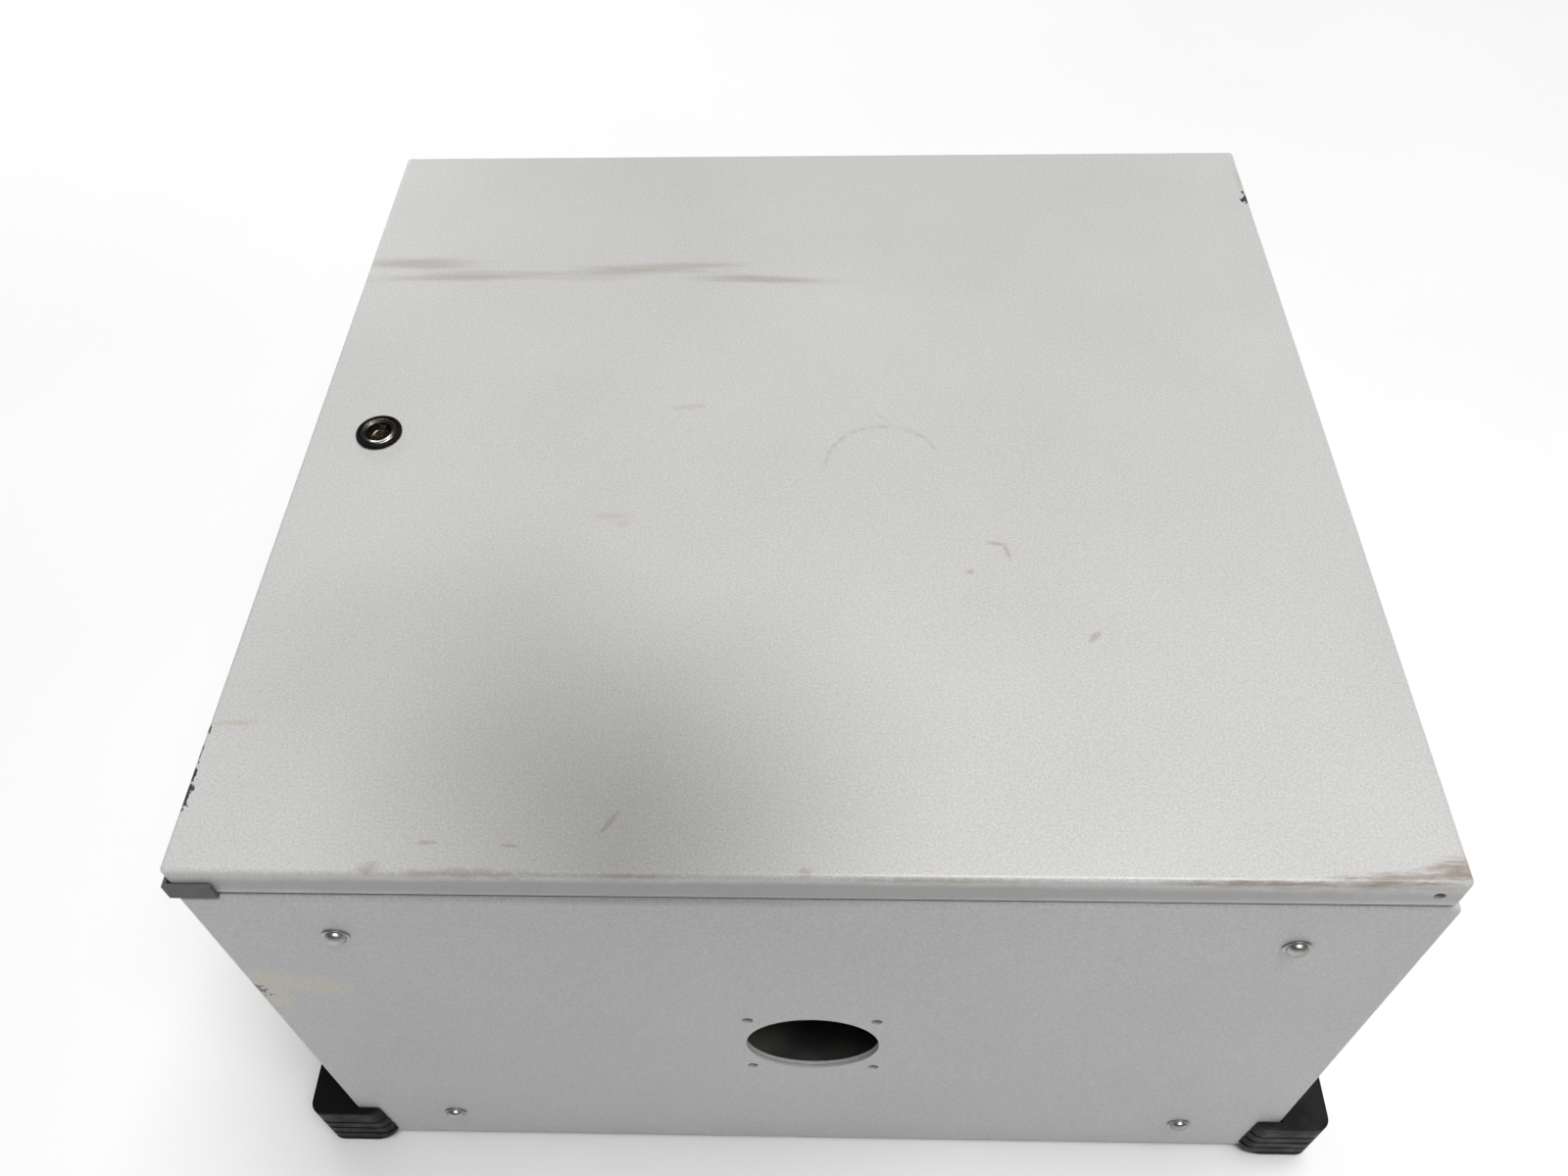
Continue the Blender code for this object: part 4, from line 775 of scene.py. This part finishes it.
studSizes = {"radius": 4 * mm, "pitch": 1.25 * mm, "shoulder": 7 * mm, "nutFlats": 13 * mm,
             "nutHeight": 6.5 * mm, "nutHole": 4.3 * mm, "nutFlange": 8.5 * mm}
studLow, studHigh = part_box("subpanel_stud_bottom_lock")
studMiddle = nodeMiddle("subpanel_stud_bottom_lock")
studX, studY = abs(studMiddle.x), abs(studMiddle.y)
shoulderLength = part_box("subpanel_plate")[0].z - gap - studLow.z
studBody = threadedStud(studSizes["radius"], studSizes["pitch"], studHigh.z - studLow.z,
                        studSizes["shoulder"], shoulderLength)
mount(setFasteners("subpanelStuds", studBody, 2 * studX, 2 * studY, zinc,
                   Matrix.Translation((0, 0, studLow.z)), 25),
      "enclosure", None, ["subpanel_stud_" + name for name in cornerNames])
nutLow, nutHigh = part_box("subpanel_nut_bottom_lock")
plateNut = hexNut(studSizes["nutFlats"], studSizes["nutHeight"], studSizes["nutHole"],
                  studSizes["nutFlange"], nutHigh.z - nutLow.z - studSizes["nutHeight"])
mount(setFasteners("subpanelNuts", plateNut, 2 * studX, 2 * studY, zinc,
                   Matrix.Translation((0, 0, nutLow.z)), 25),
      "enclosure", None, ["subpanel_nut_" + name for name in cornerNames])

# Perforated rails inside the door

railSizes = {"sheet": 1.5 * mm, "bend": 1.8 * mm, "holeRadius": 3 * mm, "pitch": 25 * mm}
railTree, railInputs = newTree("railPerforation", [
    ("Count", "NodeSocketInt"), ("Pitch", "NodeSocketFloat"), ("Radius", "NodeSocketFloat"),
    ("Start", "NodeSocketVector"), ("Material", "NodeSocketMaterial")])
step = addNode(railTree, "ShaderNodeCombineXYZ", {"Y": railInputs["Pitch"]})
holeLine = addNode(railTree, "GeometryNodeMeshLine", {"Count": railInputs["Count"],
                                                      "Start Location": railInputs["Start"],
                                                      "Offset": step.outputs[0]})
punch = addNode(railTree, "GeometryNodeMeshCylinder", {"Vertices": 24, "Radius": railInputs["Radius"],
                                                       "Depth": 8 * mm})
punches = addNode(railTree, "GeometryNodeInstanceOnPoints",
                  {"Points": holeLine.outputs[0], "Instance": punch.outputs["Mesh"]})
loose = addNode(railTree, "GeometryNodeRealizeInstances", {"Geometry": punches.outputs[0]})
cut = addNode(railTree, "GeometryNodeMeshBoolean",
              {"Mesh 1": railInputs["Geometry"], "Mesh 2": loose.outputs[0]},
              operation="DIFFERENCE", solver="EXACT")
endTree(railTree, cut.outputs["Mesh"], railInputs["Material"])


def buildRail(name, node, sizes):
    low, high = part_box(node)
    sheet, bend = sizes["sheet"], sizes["bend"]
    outline = [(high.x, high.z)] + [(high.x - sheet, high.z)]
    outline += arcPoints((high.x - bend, low.z + bend), bend - sheet, 0, -90, 3)
    outline += arcPoints((low.x + bend, low.z + bend), bend - sheet, -90, -180, 3)
    outline += [(low.x + sheet, high.z), (low.x, high.z)]
    outline += arcPoints((low.x + bend, low.z + bend), bend, 180, 270, 6)
    outline += arcPoints((high.x - bend, low.z + bend), bend, 270, 360, 6)
    bm = bmesh.new()
    addLoft(bm, [(outline, -high.y), (outline, -low.y)])
    rail = newPiece(name, bm, facing(0, 0))
    count = int((high.y - low.y - 20 * mm) / sizes["pitch"]) // 2
    start = ((low.x + high.x) / 2, -count * sizes["pitch"], low.z)
    values = {"Count": 2 * count + 1, "Pitch": sizes["pitch"], "Radius": sizes["holeRadius"], "Start": start,
              "Material": plainCoat}
    return smoothShade(growTree(name, railTree, values, source=rail))


print("Punching the rails")
for railName, railNode in (("railLockSide", "door_rail_lock_side"),
                           ("railHingeSide", "door_rail_hinge_side")):
    mount(buildRail(railName, railNode, railSizes), "door", None, [railNode])

# Foam seal poured round the door

sealSizes = {"width": 10 * mm, "corner": 14 * mm, "steps": 14, "wobble": 0.18 * mm}
sealTree, sealInputs = newTree("pouredSeal", [
    ("Width", "NodeSocketFloat"), ("Height", "NodeSocketFloat"), ("Corner", "NodeSocketFloat"),
    ("Wobble", "NodeSocketFloat"), ("Profile", "NodeSocketObject"), ("Material", "NodeSocketMaterial")])
path = addNode(sealTree, "GeometryNodeCurvePrimitiveQuadrilateral",
               {"Width": sealInputs["Width"], "Height": sealInputs["Height"]})
rounded = addNode(sealTree, "GeometryNodeFilletCurve",
                  {"Curve": path.outputs[0], "Radius": sealInputs["Corner"], "Count": 8}, mode="POLY")
even = addNode(sealTree, "GeometryNodeResampleCurve", {"Curve": rounded.outputs[0], "Length": 5 * mm},
               mode="LENGTH")
profileInfo = addNode(sealTree, "GeometryNodeObjectInfo", {"Object": sealInputs["Profile"]})
profileCurve = addNode(sealTree, "GeometryNodeMeshToCurve", {"Mesh": profileInfo.outputs["Geometry"]})
bead = addNode(sealTree, "GeometryNodeCurveToMesh", {"Curve": even.outputs[0],
                                                     "Profile Curve": profileCurve.outputs[0]})
waves = addNode(sealTree, "ShaderNodeTexNoise", {"Scale": 60.0, "Detail": 1.0})
centred = addNode(sealTree, "ShaderNodeVectorMath", {0: waves.outputs["Color"], 1: (0.5, 0.5, 0.5)},
                  operation="SUBTRACT")
offset = addNode(sealTree, "ShaderNodeVectorMath", {0: centred.outputs[0], "Scale": sealInputs["Wobble"]},
                 operation="SCALE")
moved = addNode(sealTree, "GeometryNodeSetPosition",
                {"Geometry": bead.outputs[0], "Offset": offset.outputs[0]})
endTree(sealTree, moved.outputs[0], sealInputs["Material"])


def buildSeal(sizes):
    low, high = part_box("door_gasket")
    ring = sizes["width"] - 2 * sizes["wobble"]
    height = high.z - low.z - 2 * sizes["wobble"]
    bm = bmesh.new()
    # half an ellipse hanging from a flat foot, as a closed loop of edges
    points = [(ring / 2, height / 2)]
    points += [(ring / 2 * math.cos(angle), height / 2 - height * math.sin(angle))
               for angle in (math.pi * i / sizes["steps"] for i in range(1, sizes["steps"]))]
    points += [(-ring / 2, height / 2)]
    corners = [bm.verts.new((x, y, 0)) for x, y in points]
    for i, corner in enumerate(corners):
        bm.edges.new((corner, corners[(i + 1) % len(corners)]))
    profile = newPiece("sealProfile", bm)
    values = {"Width": high.x - low.x - sizes["width"], "Height": high.y - low.y - sizes["width"],
              "Corner": sizes["corner"] - sizes["width"] / 2, "Wobble": sizes["wobble"],
              "Profile": profile, "Material": foam}
    seal = growTree("doorSeal", sealTree, values, place=Matrix.Translation(((low + high) / 2)))
    bpy.data.objects.remove(profile)
    return smoothShade(seal, 50)


print("Pouring the seal")
mount(buildSeal(sealSizes), "door", None, ["door_gasket"])

# Quarter-turn lock

lockSizes = {"flange": 13.5 * mm, "flangeRound": 0.8 * mm, "barrel": 10 * mm, "bore": 8.9 * mm,
             "cup": 11 * mm, "cupLip": 0.6 * mm, "lipWidth": 1.3 * mm, "mouth": 9.4 * mm,
             "floorRadius": 5.6 * mm, "cupDepth": 5.5 * mm, "cupWall": 0.9 * mm,
             "bitRadius": 2.4 * mm, "bitReach": 4.6 * mm, "bitThickness": 2.2 * mm, "bitHeight": 3.6 * mm,
             "square": 8 * mm, "screwHole": 2.5 * mm, "screwDepth": 9 * mm, "steps": 64}


def buildLockHousing(sizes):
    low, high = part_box("lock_housing")
    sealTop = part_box("lock_seal")[1].z
    flangeLow, edge = sealTop + gap, sizes["flangeRound"]
    recess = high.z - sizes["cupLip"] - 2 * gap
    section = [(sizes["barrel"], low.z), (sizes["barrel"], flangeLow), (sizes["flange"], flangeLow)]
    section += arcPoints((sizes["flange"] - edge, high.z - edge), edge, 0, 90, 6)
    section += arcPoints((sizes["cup"] + gap + edge / 2, high.z - edge / 2), edge / 2, 90, 180, 4)
    section += [(sizes["cup"] + gap, recess), (sizes["bore"], recess), (sizes["bore"], low.z)]
    bm = bmesh.new()
    addLoft(bm, lathe(section, sizes["steps"]), closed=True)
    return smoothShade(newPiece("lockHousing", bm, Matrix.Translation((lockJoint.x, lockJoint.y, 0))))


def buildLockInsert(sizes):
    low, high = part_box("lock_insert")
    steps = sizes["steps"]
    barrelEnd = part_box("lock_housing")[0].z
    cupLow = high.z - sizes["cupLip"] - gap
    square = polygonPoints(sizes["square"] / 2, 4, steps)
    levels = [(circlePoints(sizes["screwHole"], steps), low.z + sizes["screwDepth"]),
              (circlePoints(sizes["screwHole"], steps), low.z), (square, low.z), (square, barrelEnd),
              (circlePoints(sizes["bore"] - gap, steps), barrelEnd),
              (circlePoints(sizes["bore"] - gap, steps), cupLow)]
    # a broad lip, rounded outwards
    for i in range(7):
        angle = math.radians(90 * i / 6)
        radius = sizes["cup"] - sizes["lipWidth"] * (1 - math.cos(angle))
        levels.append((circlePoints(radius, steps), cupLow + (high.z - cupLow) * math.sin(angle)))
    # the bowl: a shallow slope down to the neck, then steep, easing into the floor
    levels.append((circlePoints(sizes["mouth"], steps), high.z - 0.1 * mm))
    neck = sizes["bore"] - gap - sizes["cupWall"]
    neckLevel = cupLow + sizes["cupLip"] / 2
    floorLevel = high.z - sizes["cupDepth"]
    for i in range(9):
        angle = math.radians(90 * i / 8)
        radius = sizes["floorRadius"] + (neck - sizes["floorRadius"]) * math.cos(angle)
        levels.append((circlePoints(radius, steps), neckLevel - (neckLevel - floorLevel) * math.sin(angle)))
    bm = bmesh.new()
    addLoft(bm, levels)
    insert = newPiece("lockInsert", bm)
    half, bitRadius, reach = sizes["bitThickness"] / 2, sizes["bitRadius"], sizes["bitReach"]
    flank = math.degrees(math.acos(half / bitRadius))
    outline = arcPoints((0, 0), bitRadius, -flank, flank, 12)
    outline += arcPoints((0, reach - half), half, 0, 180, 8)
    outline += arcPoints((0, 0), bitRadius, 180 - flank, 180 + flank, 12)
    outline += arcPoints((0, half - reach), half, 180, 360, 8)
    top = high.z - sizes["cupDepth"] + sizes["bitHeight"]
    small = [(x * 0.96, y * 0.98) for x, y in outline]
    bit = bmesh.new()
    addLoft(bit, [(outline, high.z - sizes["cupDepth"] - gap), (outline, top - 0.12 * mm), (small, top)])
    combine(insert, bit, "UNION")
    insert.data.transform(Matrix.Translation((lockJoint.x, lockJoint.y, 0)))
    return smoothShade(insert)


print("Turning the lock")
mount(buildLockHousing(lockSizes), "door", blackNylon, ["lock_housing"])
mount(buildLockInsert(lockSizes), "lock", chrome, ["lock_insert"])

# Corner buffer on the door's return

bufferSizes = {"wall": 2 * mm, "slot": 2.6 * mm, "endLength": 21 * mm, "edge": 0.5 * mm}


def buildBuffer(sizes):
    low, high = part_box("door_corner_buffer")
    outline = [(low.x, low.y), (low.x + sizes["endLength"] + gap + sizes["wall"], low.y)]
    thick = 2 * sizes["wall"] + sizes["slot"] + gap
    outline += [(outline[1][0], low.y + thick), (low.x + thick, low.y + thick)]
    outline += [(low.x + thick, high.y), (low.x, high.y)]
    bm = bmesh.new()
    addLoft(bm, [(outline, low.z), (outline, high.z)])
    buffer = bevelEdges(newPiece("doorCornerBuffer", bm), sizes["edge"])
    wall = sizes["wall"]
    outline = [(low.x + wall, low.y + wall), (high.x + 20 * mm, low.y + wall),
               (high.x + 20 * mm, low.y + thick - wall), (low.x + thick - wall, low.y + thick - wall),
               (low.x + thick - wall, high.y + 20 * mm), (low.x + wall, high.y + 20 * mm)]
    slot = bmesh.new()
    addLoft(slot, [(outline, doorLow.z - gap), (outline, high.z + wall)])
    combine(buffer, slot)
    return smoothShade(buffer)


print("Pushing on the buffer")
mount(buildBuffer(bufferSizes), "door", greyPlastic, ["door_corner_buffer"])

# Studio

studio = {"floorSize": 26.0, "floor": "#f3f3f2", "floorShade": "#eeeeed", "sky": "#fbfcff",
          "zenith": 0.06, "horizon": 0.5, "hazeTop": 0.5}


def buildStudio(sizes):
    bm = bmesh.new()
    half = sizes["floorSize"] / 2
    bm.faces.new([bm.verts.new((x, y, 0))
                  for x, y in ((-half, -half), (half, -half), (half, half), (-half, half))])
    floor = newPiece("studioFloor", bm)
    material, tree, shader, coords = newMaterial("matteFloor", Roughness=0.85)
    shade = mixColours(tree, noiseOf(tree, coords, 3.0), hexColour(sizes["floor"]),
                       hexColour(sizes["floorShade"]))
    tree.links.new(shade, shader.inputs["Base Color"])
    floor.data.materials.append(material)
    world = bpy.data.worlds.new("paleRoom")
    bpy.context.scene.world = world
    world.use_nodes = True
    world.node_tree.nodes.clear()
    # pale at the horizon, dim overhead where the softbox is
    up = addNode(world.node_tree, "ShaderNodeTexCoord").outputs["Generated"]
    height = addNode(world.node_tree, "ShaderNodeSeparateXYZ", {0: up}).outputs[2]
    strength = spread(world.node_tree, height, 0.0, sizes["hazeTop"], sizes["horizon"], sizes["zenith"])
    sky = addNode(world.node_tree, "ShaderNodeBackground",
                  {"Color": hexColour(sizes["sky"]), "Strength": strength})
    addNode(world.node_tree, "ShaderNodeOutputWorld", {"Surface": sky.outputs[0]})


lights = {
    # broad light from above, high enough to reach the floor evenly
    "overheadSoftbox": {"place": (1.8, -0.4, 11.6), "target": (0.05, -0.05, 0.35), "size": (8.4, 5.3),
                        "energy": 1380, "colour": "#ffffff"},
    # picks out the rim and the door's front bend
    "frontKicker": {"place": (0.9, -1.0, 2.6), "target": (0.15, -0.3, 0.36), "size": (0.5, 0.35),
                    "energy": 10, "colour": "#fbfcff"},
    # low and behind, for the near side of the lock's bowl
    "backWindow": {"place": (-1.3, 2.2, 0.95), "target": (-0.2, 0.0, 0.38), "size": (0.9, 0.4),
                   "energy": 9, "colour": "#fbfcff"},
    # lifts the foot of the bottom wall
    "lowFill": {"place": (0.25, -0.85, 0.05), "target": (0.1, -0.29, 0.1), "size": (1.2, 0.1),
                "energy": 0.06, "colour": "#fbfbff"},
}
flagSizes = {"centre": (-0.04, -0.3, 0.7), "radius": 0.078, "sides": 48}


def addLight(name, sizes):
    light = bpy.data.lights.new(name, "AREA")
    light.shape = "RECTANGLE"
    light.size, light.size_y = sizes["size"]
    light.energy = sizes["energy"]
    light.color = hexColour(sizes["colour"])[:3]
    lamp = bpy.data.objects.new(name, light)
    bpy.context.scene.collection.objects.link(lamp)
    direction = Vector(sizes["target"]) - Vector(sizes["place"])
    turn = direction.to_track_quat("-Z", "Y").to_matrix().to_4x4()
    lamp.matrix_world = Matrix.Translation(sizes["place"]) @ turn
    lamp.visible_camera = False


def addFlag(sizes):
    # a round card hung over the door's front, seen only as the soft shade it throws
    bm = bmesh.new()
    bmesh.ops.create_circle(bm, cap_ends=True, segments=sizes["sides"], radius=sizes["radius"])
    flag = newPiece("shadeFlag", bm, Matrix.Translation(sizes["centre"]))
    flag.data.materials.append(newMaterial("blackCard", Roughness=0.9)[0])
    flag.visible_camera = False
    flag.visible_glossy = False
    flag.visible_diffuse = False


print("Lighting the studio")
buildStudio(studio)
for lightName, lightSizes in lights.items():
    addLight(lightName, lightSizes)
addFlag(flagSizes)

cameraSettings = {"place": (0.0075, -0.5577, 0.9319), "turn": 2.986, "tilt": 38.919, "roll": -2.144,
                  "lens": 30.24}
cameraData = bpy.data.cameras.new("camera")
cameraData.sensor_width = 36.0
cameraData.lens = cameraSettings["lens"]
cameraData.clip_start = 0.01
camera = bpy.data.objects.new("camera", cameraData)
bpy.context.scene.collection.objects.link(camera)
camera.matrix_world = (Matrix.Translation(cameraSettings["place"])
                       @ Matrix.Rotation(math.radians(cameraSettings["turn"]), 4, "Z")
                       @ Matrix.Rotation(math.radians(cameraSettings["tilt"]), 4, "X")
                       @ Matrix.Rotation(math.radians(cameraSettings["roll"]), 4, "Z"))
bpy.context.scene.camera = camera
bpy.context.scene.view_settings.view_transform = "Standard"
